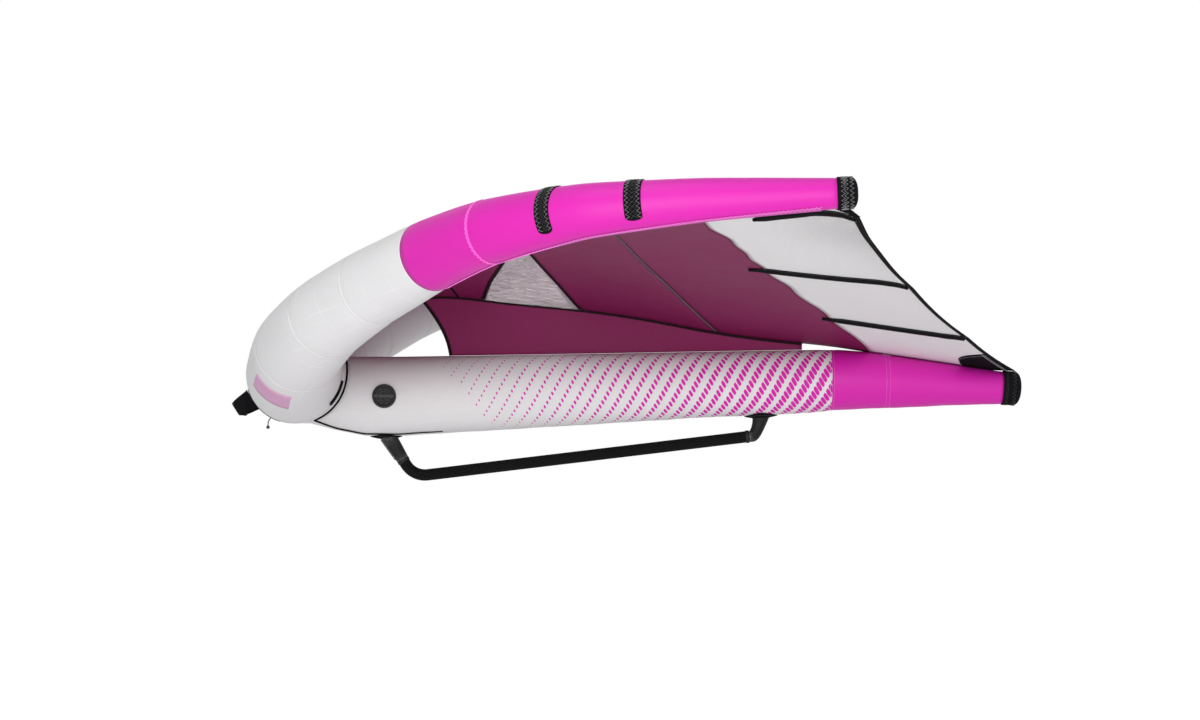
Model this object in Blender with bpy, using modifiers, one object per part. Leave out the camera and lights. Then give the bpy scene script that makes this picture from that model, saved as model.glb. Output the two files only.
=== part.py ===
"""A wingfoil wing of about five square metres: inflated leading edge and strut, panelled canopy, rigid boom.

Metres, +Z up. +X runs aft, from the leading edge to the end of the strut, and the wing is symmetric about Y = 0.
The left half is at -Y. Stations along X start at the nose, and heights start at a datum line through the strut.
The whole model then moves so that the origin is the middle of the boom's grip, where the rider holds the wing.
"""
import math

import bmesh
import bpy
import numpy as np
from mathutils import Matrix, Vector
from mathutils.bvhtree import BVHTree

# Overall form
HALF_SPAN = 1.52              # centre plane to the centreline of a tip
SWEEP = 1.354                 # how far the tips lie aft of the nose, on the centreline
TIP_RISE = 0.393              # how far the tips lie above the middle of the leading edge
LE_DIAMETER = 0.270
LE_MID_DIAMETER = 0.180       # half way along an arm
LE_TIP_DIAMETER = 0.073
LE_HEIGHT = 0.071             # centre of the leading edge above the datum
STRUT_DIAMETER = 0.212        # at its thickest
STRUT_LENGTH = 1.900          # from inside the leading edge to the end cap
STRUT_COLOR_BREAK = 1.571     # where the strut's front sleeve ends
CLOTH = 0.0008                # Dacron sleeves with their seam allowance
BLADDER_WALL = 0.0004
CANOPY_CLOTH = 0.0006
GAP = 0.0003                  # between neighbours that touch
WELD = 0.00001                # points nearer than this are one
BLADDER_GAP = 0.0040          # between a bladder and its sleeve
SEAM = 0.0003                 # between two panels sewn edge to edge
CENTER_SEAM = 0.0011          # between the canopy's halves, measured under the cloth, which leans inwards
OVERRUN = 0.010               # how far a cutter passes what it cuts

# Leading edge: where the arm's centreline passes, as shares of HALF_SPAN, SWEEP and TIP_RISE
LE_SPAN_SHARES = (0.0, 0.212, 0.428, 0.669, 0.922, 1.0)
LE_SWEEP_SHARES = (0.0, -0.001, 0.048, 0.237, 0.518, 1.0)
LE_RISE_SHARES = (0.0, -0.043, 0.186, 0.598, 0.885, 1.0)
# Rings of an arm, as shares of its length. The named ones are seams and the edges of bands
PINK_SHARE = 0.533
BAND_SHARES = ((0.711, 0.726), (0.799, 0.816))
HANDLE_PATCH_SHARE = 0.062
PLAIN_RING_SHARES = (
    0.0, 0.12, 0.18, 0.24, 0.30, 0.36, 0.42, 0.48, 0.58, 0.63, 0.67, 0.76, 0.86, 0.90, 0.95, 0.985, 1.0,
)
LE_SIDES = 20
BLADDER_SIDES = 10

BAND_THICKNESS = 0.0015
BAND_ARC = (54, 288)          # degrees round the tube: 0 faces aft, 90 up, 180 forward
TIP_CAP_LENGTH = 0.049
TIP_CAP_OVERLAP = 0.008
CAP_WALL = 0.0018
CAP_DOME_SHARE = 0.35         # share of a cap's length that is domed
CAP_RAMP = 0.100              # over this length the canopy climbs from the strut's cloth to its cap

# Strut: (share of length, share of greatest diameter, height of its centre over the datum as a share of it)
STRUT_RING_SHARES = (
    (0.000, 0.750, 0.100), (0.025, 0.858, 0.099), (0.057, 0.929, 0.064), (0.096, 1.000, 0.028),
    (0.141, 1.000, 0.028), (0.283, 0.943, 0.075), (0.425, 0.887, 0.123), (0.567, 0.830, 0.175),
    (0.709, 0.802, 0.212), (0.766, 0.760, 0.238), (0.804, 0.722, 0.233), (0.851, 0.646, 0.210),
    (0.937, 0.500, 0.170), (1.000, 0.401, 0.137),
)
STRUT_START = 0.136
STRUT_CAP_LENGTH = 0.053
STRUT_CAP_OVERLAP = 0.012
PIPING_DIAMETER = 0.0045
PIPING_GAP = 0.0007           # from the cloth to the piping, which spans its facets
PIPING_ANGLE = 291            # where the bottom piping runs, degrees round the strut
PIPING_END = 0.527
PIPING_POINTS = 15
ZIP_SHARE = 0.090             # share of the arm where the zip lies
ZIP_WIDTH_SHARE = 0.0034
ZIP_ARC = (324, 351)
ZIP_STEPS = 3
ZIP_THICKNESS = 0.0015

# Bladders and the hose between them
BLADDER_END = 0.300           # where the strut's bladder starts
HOSE_DIAMETER = 0.024
HOSE_WALL = 0.0025
HOSE_HEIGHT = 0.050
HOSE_REACH = 0.035            # how far the hose stands in each bladder

# Canopy
CANOPY_LIFT = 0.0005          # canopy edge over the sleeve it is sewn to
CANOPY_ANGLES = ((0.0, 46), (0.5, 30), (0.85, 0), (1.0, -40))
TE_PAST_STRUT = 0.022         # from the end of the strut to the trailing edge on the centre line
# Camber: stations of the centre line's profile, as shares of the way to the trailing edge, and its heights
CAMBER_STATION_SHARES = (0.1467, 0.1953, 0.2318, 0.3299, 0.4086, 0.5136, 0.6016, 0.7259, 0.7692)
CAMBER_HEIGHTS = (0.212, 0.255, 0.2715, 0.260, 0.244, 0.216, 0.182, 0.1485, 0.1385)
STRUT_SEAM_SHARE = 0.8124     # from here aft the canopy lies on the strut
STRUT_SEAM_GAP = 0.0007       # canopy over the strut's cloth, whose rings it spans
TE_TIP_AFT = 0.046            # canopy corner from the end of the arm: aft, inboard, below
TE_TIP_INBOARD = 0.030
TE_TIP_DROP = 0.054
TE_HOLLOW_SHARE = 0.14        # how far the trailing edge is drawn in towards the last maroon seam half way
BILLOW = 0.025
# Spanwise lines: (share of the arm, share of the way to the trailing edge on the centre line)
SPAN_LINE_SHARES = (
    (0.0, 0.0), (0.30, 0.1676), (0.50, 0.2527), (0.69, 0.4281), (0.786, 0.6020), (0.875, 0.8110), (1.0, 1.0),
)
# Seams between panels: share of the arm at the leading edge, at the window's point and at the centre
WINDOW_POINT = 0.3            # how far across the wedge of the window reaches
WINDOW_FRONT_SHARES = (0.638, 0.638, 0.578)
WINDOW_REAR_SHARES = (0.638, 0.638, 0.696)
MIDDLE_REAR_SHARES = (0.742, 0.757, 0.792)
MAROON_REAR_SHARES = (0.845, 0.854, 0.875)
TAPE_FRONT = 0.9935
PANEL_CUT = 0.00010           # half a seam between panels, as a share of the arm
SPAN_CELLS = 10
BATTEN_LINES = (              # name, then share of the arm and place across at each end
    ("outer_batten", (0.918, 0.068), (0.993, 0.017)),
    ("middle_batten", (0.860, 0.461), (0.993, 0.443)),
    ("inner_batten", (0.877, 0.778), (0.993, 0.775)),
)
BATTEN_WIDTH = 0.022
BATTEN_THICKNESS = 0.003
BATTEN_CELLS = 9
PATCH_START = 0.952           # share of the arm whose spanwise line starts a corner patch
PATCH_INSET = 0.012           # from the centre plane
PATCH_WIDTH = 0.045
PATCH_TIP_WIDTH = 0.010
PATCH_CLOTH = 0.0010
PATCH_STEPS = 4
TIP_WEBBING_HALF = 0.012
TIP_WEBBING_TIP = 0.003

# Profile panel: its front top, front foot and rear, as shares of the way to the trailing edge
PANEL_STATION_SHARES = (0.2264, 0.2663, 0.7259)
PANEL_COLUMNS = 12
PANEL_COLUMN_SHARE = 0.012    # columns of the panel lie at least this share of its depth apart
PANEL_BELLY = 0.003           # how full the panel's cloth stands to the right
# Its front edge, as shares of its depth there and of its height
PANEL_CURVE_SHARES = ((0.0, 1.0), (0.39, 0.72), (0.73, 0.43), (0.93, 0.17), (1.0, 0.0))
PANEL_THICKNESS = 0.0012

# Boom
GRIP_DIAMETER = 0.031
GRIP_WALL = 0.0017
TUBE_DIAMETER = 0.0270
TUBE_WALL = 0.0015
BOOM_TOP = (0.392, -0.122)    # station and height of the axis at the front fitting
BOOM_CORNER = (0.447, -0.210)
BOOM_END = (1.353, -0.102)    # where the grip meets the rear fitting
BOOM_BEND_RADIUS = 0.060
BOOM_BEND_POINTS = 7
SPIGOT_LENGTH = 0.040
FRONT_SOCKET_DEPTH = 0.048
FRONT_SOCKET_TOP = 0.052      # width of the front fitting inside the strut's line, where it is cut off
FRONT_SOCKET_SHOULDER = 0.047
FRONT_SOCKET_MOUTH = 0.0326
FRONT_FITTING_RISE = 0.053    # from the boom's end to where the fitting is cut off
REAR_FITTING_TOP = 0.048
REAR_FITTING_AFT = 0.034      # how far aft of the grip's end the rear fitting rises
REAR_FITTING_COLLAR = 0.004   # straight part against the grip's end
REAR_FITTING_RISE = 0.026     # how far it passes the strut's line before it is cut off
REAR_FITTING_STEPS = 6
SADDLE_THICKNESS = 0.0025
FRONT_SADDLE = (0.373, 0.078, 0.064)   # station of the centre, length, width
REAR_SADDLE = (1.383, 0.084, 0.095)
SCREW_HEAD = 0.0095
SCREW_HEAD_HEIGHT = 0.0028
SCREW_SHANK = 0.0048
SCREW_LENGTH = 0.009
SCREW_PLACE = 0.018           # from the front socket's mouth to its screw
SCREW_SEAT = 0.0155           # from the boom's axis to the underside of the screw's head
RING_SIDES = 16

# Front handle, on a line 32 degrees below the nose
HANDLE_ANGLE = 212            # degrees round the leading edge
HANDLE_WIDTH = 0.050
HANDLE_HEIGHT = 0.047
HANDLE_HALF_LENGTH = 0.088
HANDLE_FOOT = 0.028
HANDLE_CORNER = 0.022
STRAP_THICKNESS = 0.0035
PATCH_THICKNESS = 0.0025
PATCH_ARC = (198, 252)
PAD_THICKNESS = 0.011
PAD_HALF_LENGTH = 0.055
TAG_DIAMETER = 0.003
KNOT_DIAMETER = 0.010
TAG_ROUTE = (                 # the tag line's points: station, Y and height over the datum
    (0.0637, 0.0130, -0.0477), (0.0616, 0.0130, -0.0511), (0.0601, 0.0127, -0.0534), (0.0587, 0.0119, -0.0556),
    (0.0575, 0.0105, -0.0577), (0.0566, 0.0087, -0.0597), (0.0560, 0.0065, -0.0614), (0.0557, 0.0041, -0.0629),
    (0.0556, 0.0015, -0.0641), (0.0557, -0.0011, -0.0651), (0.0558, -0.0036, -0.0661),
    (0.0559, -0.0058, -0.0675), (0.0559, -0.0072, -0.0694), (0.0559, -0.0077, -0.0717),
)

# Valve, on the strut's left side. Heights are out from the strut's cloth
VALVE_STATION = 0.373
VALVE_FLANGE = 0.065
VALVE_FLANGE_TOP = 0.003
VALVE_BODY = 0.042
VALVE_BORE = 0.034
VALVE_DEPTH = 0.030
VALVE_SEAT_BORE = 0.024
VALVE_SEAT_THICKNESS = 0.003
SPIDER_DEPTH = 0.019
SPIDER_THICKNESS = 0.004
SPIDER_HUB = 0.012
SPIDER_ARM = 0.004
STEM_DIAMETER = 0.006
BUTTON_DIAMETER = 0.014
BUTTON_TOP = 0.002            # how deep the button lies
BUTTON_THICKNESS = 0.002
POPPET_DIAMETER = 0.030
POPPET_THICKNESS = 0.002
POPPET_SEAL = (0.0252, 0.0290, 0.0015)   # inner and outer diameter, thickness
SPRING_DIAMETER = 0.0105
SPRING_WIRE = 0.0008
SPRING_TURNS = 4
CAP_DIAMETER = 0.062
CAP_HEIGHT = 0.0065
CAP_RIM = 0.0055
CAP_FLOOR = 0.003
CAP_BAR = 0.008
CAP_PLUG_WALL = 0.003
CAP_PLUG_DEPTH = 0.005
TURN_GAP = 0.0004             # running clearance of the cap's plug and the stem

COLORS = {
    "dacron_white": ((0.66, 0.65, 0.65), 0.55), "dacron_pink": ((0.87, 0.045, 0.60), 0.5),
    "canopy_maroon": ((0.15, 0.018, 0.062), 0.6), "canopy_grey": ((0.62, 0.62, 0.63), 0.6),
    "window_film": ((0.60, 0.57, 0.58), 0.2), "black_webbing": ((0.010, 0.010, 0.011), 0.8),
    "bladder_film": ((0.75, 0.75, 0.78), 0.3), "black_plastic": ((0.012, 0.012, 0.013), 0.45),
    "grey_plastic": ((0.040, 0.038, 0.042), 0.5), "grip_foam": ((0.008, 0.008, 0.009), 0.85),
    "aluminium": ((0.45, 0.45, 0.47), 0.35), "steel": ((0.55, 0.55, 0.56), 0.3),
    "rubber": ((0.02, 0.02, 0.02), 0.7), "tag_line": ((0.16, 0.11, 0.13), 0.8),
}
METALS = ("aluminium", "steel")

UP = Vector((0.0, 0.0, 1.0))
GRIP = Vector(((BOOM_CORNER[0] + BOOM_END[0]) / 2, 0.0, (BOOM_CORNER[1] + BOOM_END[1]) / 2))


# Scene housekeeping

def clear_scene():
    for old in list(bpy.data.objects):
        bpy.data.objects.remove(old)


def collection(name):
    made = bpy.data.collections.new(name)
    bpy.context.scene.collection.children.link(made)
    return made


def material(slot):
    found = bpy.data.materials.get(slot)
    if found:
        return found
    color, roughness = COLORS[slot]
    made = bpy.data.materials.new(slot)
    made.use_nodes = True
    shader = made.node_tree.nodes["Principled BSDF"]
    shader.inputs["Base Color"].default_value = (*color, 1.0)
    shader.inputs["Roughness"].default_value = roughness
    shader.inputs["Metallic"].default_value = 1.0 if slot in METALS else 0.0
    return made


def add(name, mesh, slot=None, where=None):
    """An object of this mesh, among the parts, or among the cutters where no slot is given."""
    obj = bpy.data.objects.new(name, mesh)
    (where or (PARTS if slot else CUTTERS)).objects.link(obj)
    if slot:
        mesh.materials.clear()
        mesh.materials.append(material(slot))
        mesh.shade_smooth()
        mesh.set_sharp_from_angle(angle=math.radians(35))
    else:
        obj.hide_render = True
        obj.display_type = "WIRE"
    return obj


def hung_at(obj, place):
    """Puts the origin of a moving piece on its axis, and leaves its shape where it is."""
    obj.data.transform(Matrix.Translation(-place))
    obj.location = place
    return obj


def solidify(obj, thickness, offset=1.0):
    wall = obj.modifiers.new("wall", "SOLIDIFY")
    wall.thickness = thickness
    wall.offset = offset
    wall.use_quality_normals = True
    return obj


def boolean(obj, cutter, operation="DIFFERENCE"):
    cut = obj.modifiers.new(operation.lower(), "BOOLEAN")
    cut.operation = operation
    cut.solver = "EXACT"
    cut.object = cutter
    return obj


def evaluated_mesh(obj):
    bpy.context.view_layer.update()
    return bpy.data.meshes.new_from_object(obj.evaluated_get(bpy.context.evaluated_depsgraph_get()))


def welded(mesh, distance=WELD):
    shape = bmesh.new()
    shape.from_mesh(mesh)
    bmesh.ops.remove_doubles(shape, verts=shape.verts, dist=distance)
    bmesh.ops.dissolve_degenerate(shape, edges=shape.edges, dist=distance)
    bmesh.ops.recalc_face_normals(shape, faces=shape.faces)
    shape.to_mesh(mesh)
    shape.free()
    return mesh


def joined(name, meshes):
    """One mesh that holds several separate solids."""
    shape = bmesh.new()
    for mesh in meshes:
        shape.from_mesh(mesh)
    out = bpy.data.meshes.new(name)
    shape.to_mesh(out)
    shape.free()
    return out


def mirrored(mesh, name):
    """The right-hand twin of a left-hand mesh."""
    twin = mesh.copy()
    twin.name = name
    twin.transform(Matrix.Scale(-1.0, 4, Vector((0.0, 1.0, 0.0))))
    twin.flip_normals()
    return twin


def add_pair(name, mesh, slot):
    """A left piece and its mirror image on the right."""
    twin = mirrored(mesh, name + "_right")
    return add(name + "_left", mesh, slot), add(name + "_right", twin, slot)


# Curves and tubes

def cubic_through(knots, points, start_slope=None):
    """A smooth cubic curve through the points, clamped at its start to a slope if one is given."""
    knots = np.array(knots, float)
    points = np.array(points, float).reshape(len(knots), -1)
    steps = np.diff(knots)
    slopes = np.diff(points, axis=0) / steps[:, None]
    count = len(knots)
    system = np.eye(count)
    right = np.zeros_like(points)
    for i in range(1, count - 1):
        system[i, i - 1:i + 2] = steps[i - 1], 2 * (steps[i - 1] + steps[i]), steps[i]
        right[i] = 6 * (slopes[i] - slopes[i - 1])
    if start_slope is not None:
        system[0, :2] = 2 * steps[0], steps[0]
        right[0] = 6 * (slopes[0] - np.array(start_slope))
    bends = np.linalg.solve(system, right)

    def curve(value):
        i = int(np.clip(np.searchsorted(knots, value) - 1, 0, count - 2))
        h, a, b = steps[i], knots[i + 1] - value, value - knots[i]
        return (bends[i] * a**3 / (6 * h) + bends[i + 1] * b**3 / (6 * h)
                + (points[i] / h - bends[i] * h / 6) * a + (points[i + 1] / h - bends[i + 1] * h / 6) * b)
    return curve


def swept(name, points, radii, sides, caps=False):
    """The mesh of a round tube along points, with a radius at each."""
    data = bpy.data.curves.new(name, "CURVE")
    data.dimensions = "3D"
    data.twist_mode = "Z_UP"
    data.bevel_depth = 1.0
    data.bevel_resolution = (sides - 4) // 2
    data.use_fill_caps = caps
    line = data.splines.new("POLY")
    line.points.add(len(points) - 1)
    for knot, point, radius in zip(line.points, points, radii):
        knot.co = (*point, 1.0)
        knot.radius = radius
    line.use_smooth = False
    obj = bpy.data.objects.new(name, data)
    CUTTERS.objects.link(obj)
    mesh = evaluated_mesh(obj)
    bpy.data.objects.remove(obj)
    mesh.name = name
    return welded(mesh) if caps else mesh


class Tube:
    """An inflated tube: a ring at each station of its centreline, straight between rings."""

    def __init__(self, stations, centers, radii):
        self.stations = list(stations)
        self.centers = [Vector(c) for c in centers]
        self.radii = list(radii)
        self.frames = [self.ring_frame(i) for i in range(len(self.stations))]

    def ring_frame(self, i):
        """Tangent, side and up of a ring. Side is aft and inboard on the leading edge, right on the strut."""
        here = self.centers[i]
        before = (here - self.centers[i - 1]).normalized() if i else Vector()
        after = (self.centers[i + 1] - here).normalized() if i + 1 < len(self.centers) else Vector()
        along = (before + after).normalized()
        side = UP.cross(along).normalized()
        return along, side, along.cross(side)

    def ring(self, station):
        return min(range(len(self.stations)), key=lambda i: abs(self.stations[i] - station))

    def ring_point(self, i, angle, lift):
        _, side, up = self.frames[i]
        turn = math.radians(angle)
        return self.centers[i] + (side * math.cos(turn) + up * math.sin(turn)) * (self.radii[i] + lift)

    def point(self, station, angle, lift=0.0):
        """A point over the skin, straight between the two rings around it."""
        i = int(np.clip(np.searchsorted(self.stations, station) - 1, 0, len(self.stations) - 2))
        share = (station - self.stations[i]) / (self.stations[i + 1] - self.stations[i])
        return self.ring_point(i, angle, lift).lerp(self.ring_point(i + 1, angle, lift), share)

    def center(self, station):
        return Vector([np.interp(station, self.stations, [c[k] for c in self.centers]) for k in range(3)])

    def radius(self, station):
        return float(np.interp(station, self.stations, self.radii))

    def solid(self, name, lift, sides, first=0, last=None):
        """A closed tube through all rings or a range of them."""
        rings = range(first, (last or len(self.stations) - 1) + 1)
        radii = [self.radii[i] + lift for i in rings]
        return swept(name, [self.centers[i] for i in rings], radii, sides, caps=True)

    def skin(self, name, lift, sides, first, last, arc=None):
        """The open skin from ring first to ring last, all round or over an arc of degrees."""
        mesh = swept(name, self.centers, [r + lift for r in self.radii], sides)
        shape = bmesh.new()
        shape.from_mesh(mesh)
        shape.verts.ensure_lookup_table()
        for ring, inward in ((first, 1), (last, -1)):
            if 0 < ring < len(self.stations) - 1:
                self.draw_back(shape, ring, inward, sides)
        away = []
        for face in shape.faces:
            rings = [v.index // sides for v in face.verts]
            outside = min(rings) < first or max(rings) > last
            if arc and not outside:
                _, side, up = self.frames[min(rings)]
                spoke = face.calc_center_median() - (self.centers[min(rings)] + self.centers[max(rings)]) / 2
                angle = math.degrees(math.atan2(spoke.dot(up), spoke.dot(side))) % 360
                outside = not (arc[0] <= angle <= arc[1] or arc[0] <= angle + 360 <= arc[1])
            if outside:
                away.append(face)
        bmesh.ops.delete(shape, geom=away, context="FACES")
        shape.to_mesh(mesh)
        shape.free()
        return mesh

    def draw_back(self, shape, ring, inward, sides):
        """Moves a ring of the skin half a seam towards the one after it or before it."""
        for vert in shape.verts[ring * sides:(ring + 1) * sides]:
            ahead = shape.verts[vert.index + inward * sides].co - vert.co
            vert.co += ahead.normalized() * SEAM / 2


def leading_edge():
    """The leading edge from tip to tip. A station is the share of an arm, negative on the right."""
    control = [Vector((LE_DIAMETER / 2 + SWEEP * x, -HALF_SPAN * y, LE_HEIGHT + TIP_RISE * z))
               for x, y, z in zip(LE_SWEEP_SHARES, LE_SPAN_SHARES, LE_RISE_SHARES)]
    reach = np.concatenate([[0], np.cumsum([(b - a).length for a, b in zip(control, control[1:])])])
    curve = cubic_through(reach / reach[-1], control, start_slope=(0.0, -reach[-1], 0.0))
    shares = set(PLAIN_RING_SHARES) | {PINK_SHARE, HANDLE_PATCH_SHARE}
    shares |= {edge for band in BAND_SHARES for edge in band}
    stations, centers, radii = [], [], []
    for share in sorted(shares):
        stations.append(share)
        centers.append(Vector(curve(share)))
        radii.append((LE_DIAMETER * (1 - share) * (1 - 2 * share) + LE_MID_DIAMETER * 4 * share * (1 - share)
                      + LE_TIP_DIAMETER * share * (2 * share - 1)) / 2)
    right = [Vector((c.x, -c.y, c.z)) for c in centers[:0:-1]]
    return Tube([-s for s in stations[:0:-1]] + stations, right + centers, radii[:0:-1] + radii)


def strut():
    """The strut from inside the leading edge to its end cap. A station is a place along X."""
    rows = {STRUT_START + STRUT_LENGTH * share: (STRUT_DIAMETER / 2 * radius, STRUT_DIAMETER * height)
            for share, radius, height in STRUT_RING_SHARES}
    known = sorted(rows)
    radius, height = (float(np.interp(STRUT_COLOR_BREAK, known, [rows[k][i] for k in known])) for i in range(2))
    rows[STRUT_COLOR_BREAK] = (radius, height)
    stations = sorted(rows)
    return Tube(stations, [Vector((x, 0.0, rows[x][1])) for x in stations], [rows[x][0] for x in stations])


def cap_mesh(name, inner_radius, length, overlap):
    """A cup for the end of a tube, its axis on +X and its mouth at -overlap. Turned from a closed profile."""
    dome = length * CAP_DOME_SHARE
    outer_radius = inner_radius + CAP_WALL
    steps = 4
    outer = [(length - dome + dome * math.sin(a), outer_radius * (0.45 + 0.55 * math.cos(a)))
             for a in (math.pi / 2 * k / steps for k in range(steps + 1))]
    inner = [(x - CAP_WALL, max(r - CAP_WALL, inner_radius * 0.2)) for x, r in outer]
    outline = [(-overlap, inner_radius), (-overlap, outer_radius)] + outer + [(length, 0.0)]
    outline += [(length - CAP_WALL, 0.0)] + inner[::-1]
    return turned(name, outline, LE_SIDES)


def turned(name, outline, sides=RING_SIDES):
    """A profile of (along, radius) points turned about +X."""
    shape = bmesh.new()
    verts = [shape.verts.new((along, 0.0, radius)) for along, radius in outline]
    edges = [shape.edges.new(pair) for pair in zip(verts, verts[1:])]
    if outline[0][1] and outline[-1][1]:
        edges.append(shape.edges.new((verts[-1], verts[0])))
    bmesh.ops.spin(shape, geom=verts + edges, cent=(0, 0, 0), axis=(1, 0, 0), angle=math.tau, steps=sides,
                   use_merge=True, use_duplicate=False)
    mesh = bpy.data.meshes.new(name)
    shape.to_mesh(mesh)
    shape.free()
    return welded(mesh)


def aimed(mesh, place, along, up=UP):
    """Moves a mesh so that its own +X points along, from place."""
    along = Vector(along).normalized()
    side = Vector(up).cross(along).normalized()
    turn = Matrix((along, side, along.cross(side))).transposed().to_4x4()
    mesh.transform(Matrix.Translation(place) @ turn)
    return mesh


def rod(name, start, end, diameter, sides=RING_SIDES):
    return swept(name, [start, end], [diameter / 2] * 2, sides, caps=True)


def box_mesh(name, size, center=(0, 0, 0)):
    shape = bmesh.new()
    bmesh.ops.create_cube(shape, size=1.0)
    bmesh.ops.scale(shape, vec=size, verts=shape.verts)
    bmesh.ops.translate(shape, vec=center, verts=shape.verts)
    mesh = bpy.data.meshes.new(name)
    shape.to_mesh(mesh)
    shape.free()
    return mesh


# Sleeves, bladders and what is sewn to the tubes

def build_sleeves(edge, beam):
    arm = edge.ring(PINK_SHARE)
    center = edge.skin("le_sleeve_center", 0.0, LE_SIDES, edge.ring(-PINK_SHARE), arm)
    start, end = hose_ends(edge, OVERRUN)
    hole, length = HOSE_DIAMETER / 2 + GAP, (end - start).length
    hose = turned("hose_cutter", [(0.0, 0.0), (0.0, hole), (length, hole), (length, 0.0)], RING_SIDES)
    hose = add("hose_cutter", aimed(hose, start, end - start))
    middle = solidify(add("le_sleeve_center", center, "dacron_white"), CLOTH)
    boolean(middle, hose)
    pink = edge.skin("le_sleeve", 0.0, LE_SIDES, arm, len(edge.stations) - 1)
    for side in add_pair("le_sleeve", pink, "dacron_pink"):
        solidify(side, CLOTH)
    bladder = add("le_bladder", edge.solid("le_bladder", -BLADDER_GAP, BLADDER_SIDES), "bladder_film")
    boolean(solidify(bladder, BLADDER_WALL, -1.0), hose)

    nose = add("nose_cutter", edge.solid("nose_cutter", CLOTH + GAP, LE_SIDES))
    break_ring = beam.ring(STRUT_COLOR_BREAK)
    front = beam.skin("strut_sleeve_front", 0.0, LE_SIDES, 0, break_ring)
    front = add("strut_sleeve_front", front, "dacron_white")
    boolean(solidify(front, CLOTH), nose)
    rear = beam.skin("strut_sleeve_rear", 0.0, LE_SIDES, break_ring, len(beam.stations) - 1)
    solidify(add("strut_sleeve_rear", rear, "dacron_pink"), CLOTH)
    inner = strut_bladder(beam)
    boolean(inner, hose)
    return front, inner


def hose_ends(edge, extra=0.0):
    """The hose runs along X at its own height, from inside one bladder to inside the other."""
    nose_rear = LE_DIAMETER
    start = nose_rear - HOSE_REACH - extra
    return Vector((start, 0.0, HOSE_HEIGHT)), Vector((BLADDER_END + HOSE_REACH + extra, 0.0, HOSE_HEIGHT))


def strut_bladder(beam):
    """The strut's bladder: domed at its front, and following the sleeve aft."""
    shares = ((0.0, 0.35), (0.25, 0.75), (1.0, 1.0))
    points, radii = [], []
    for share, size in shares:
        x = BLADDER_END + share * HOSE_REACH
        points.append(beam.center(x))
        radii.append((beam.radius(x) - BLADDER_GAP) * size)
    for x, center, radius in zip(beam.stations, beam.centers, beam.radii):
        if x > BLADDER_END + HOSE_REACH + OVERRUN:
            points.append(center)
            radii.append(radius - BLADDER_GAP)
    mesh = swept("strut_bladder", points, radii, BLADDER_SIDES, caps=True)
    return solidify(add("strut_bladder", mesh, "bladder_film"), BLADDER_WALL, -1.0)


def build_hose(edge):
    start, end = hose_ends(edge)
    outer, inner = HOSE_DIAMETER / 2, HOSE_DIAMETER / 2 - HOSE_WALL
    length = (end - start).length
    mesh = turned("transfer_hose", [(0.0, inner), (0.0, outer), (length, outer), (length, inner)])
    add("transfer_hose", aimed(mesh, start, end - start), "bladder_film")


def cap_bore(tube, overlap):
    """The inner radius of a cap that slips over the end of a tube's sleeve."""
    taper = (tube.radii[-2] - tube.radii[-1]) / (tube.centers[-2] - tube.centers[-1]).length
    return (tube.radii[-1] + CLOTH + taper * overlap) / math.cos(math.pi / LE_SIDES) + GAP


def build_caps(edge, beam):
    cap = cap_mesh("le_tip_cap", cap_bore(edge, TIP_CAP_OVERLAP), TIP_CAP_LENGTH, TIP_CAP_OVERLAP)
    add_pair("le_tip_cap", aimed(cap, edge.centers[-1], edge.frames[-1][0]), "black_webbing")
    cap = cap_mesh("strut_end_cap", cap_bore(beam, STRUT_CAP_OVERLAP), STRUT_CAP_LENGTH, STRUT_CAP_OVERLAP)
    add("strut_end_cap", aimed(cap, beam.centers[-1], beam.frames[-1][0]), "black_webbing")


def build_bands(edge):
    for name, (first, last) in zip(("inner_scuff_band", "outer_scuff_band"), BAND_SHARES):
        strip = edge.skin(name, CLOTH + GAP, LE_SIDES, edge.ring(first), edge.ring(last), BAND_ARC)
        for side in add_pair(name, strip, "black_webbing"):
            solidify(side, BAND_THICKNESS)


def junction_point(edge, beam, angle, stand):
    """Where the strut's skin meets the leading edge's, both raised by stand, at an angle round the strut."""
    low, high = beam.stations[1], BLADDER_END
    for _ in range(30):
        x = (low + high) / 2
        point = beam.point(x, angle, stand)
        share = -point.y / HALF_SPAN
        ring = min(range(len(edge.centers)), key=lambda i: abs(edge.centers[i].y - point.y))
        near = ring + (1 if edge.centers[ring].y > point.y else -1)
        a, b = edge.centers[ring], edge.centers[near]
        blend = (point.y - a.y) / (b.y - a.y)
        middle = a.lerp(b, blend)
        radius = edge.radii[ring] + (edge.radii[near] - edge.radii[ring]) * blend
        if (Vector((point.x, 0, point.z)) - Vector((middle.x, 0, middle.z))).length > radius + stand:
            high = x
        else:
            low = x
    return beam.point(high, angle, stand)


def build_piping(edge, beam):
    """Black piping down the strut's seam with the leading edge, then aft along the strut's bottom."""
    stand = CLOTH + PIPING_GAP + PIPING_DIAMETER / 2
    mirror_angle = 180 + 360 - PIPING_ANGLE
    seam = [junction_point(edge, beam, 100 + (mirror_angle - 20 - 100 + 10) * k / (PIPING_POINTS - 1), stand)
            for k in range(PIPING_POINTS)]
    corner = seam[-1]
    aft = [x for x in beam.stations if corner.x + 0.5 * PIPING_DIAMETER < x < PIPING_END]
    bottom = [beam.point(x, mirror_angle, stand) for x in aft + [PIPING_END]]
    line = seam + bottom
    mesh = swept("junction_piping", line, [PIPING_DIAMETER / 2] * len(line), 8, caps=True)
    add_pair("junction_piping", mesh, "black_webbing")


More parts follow.
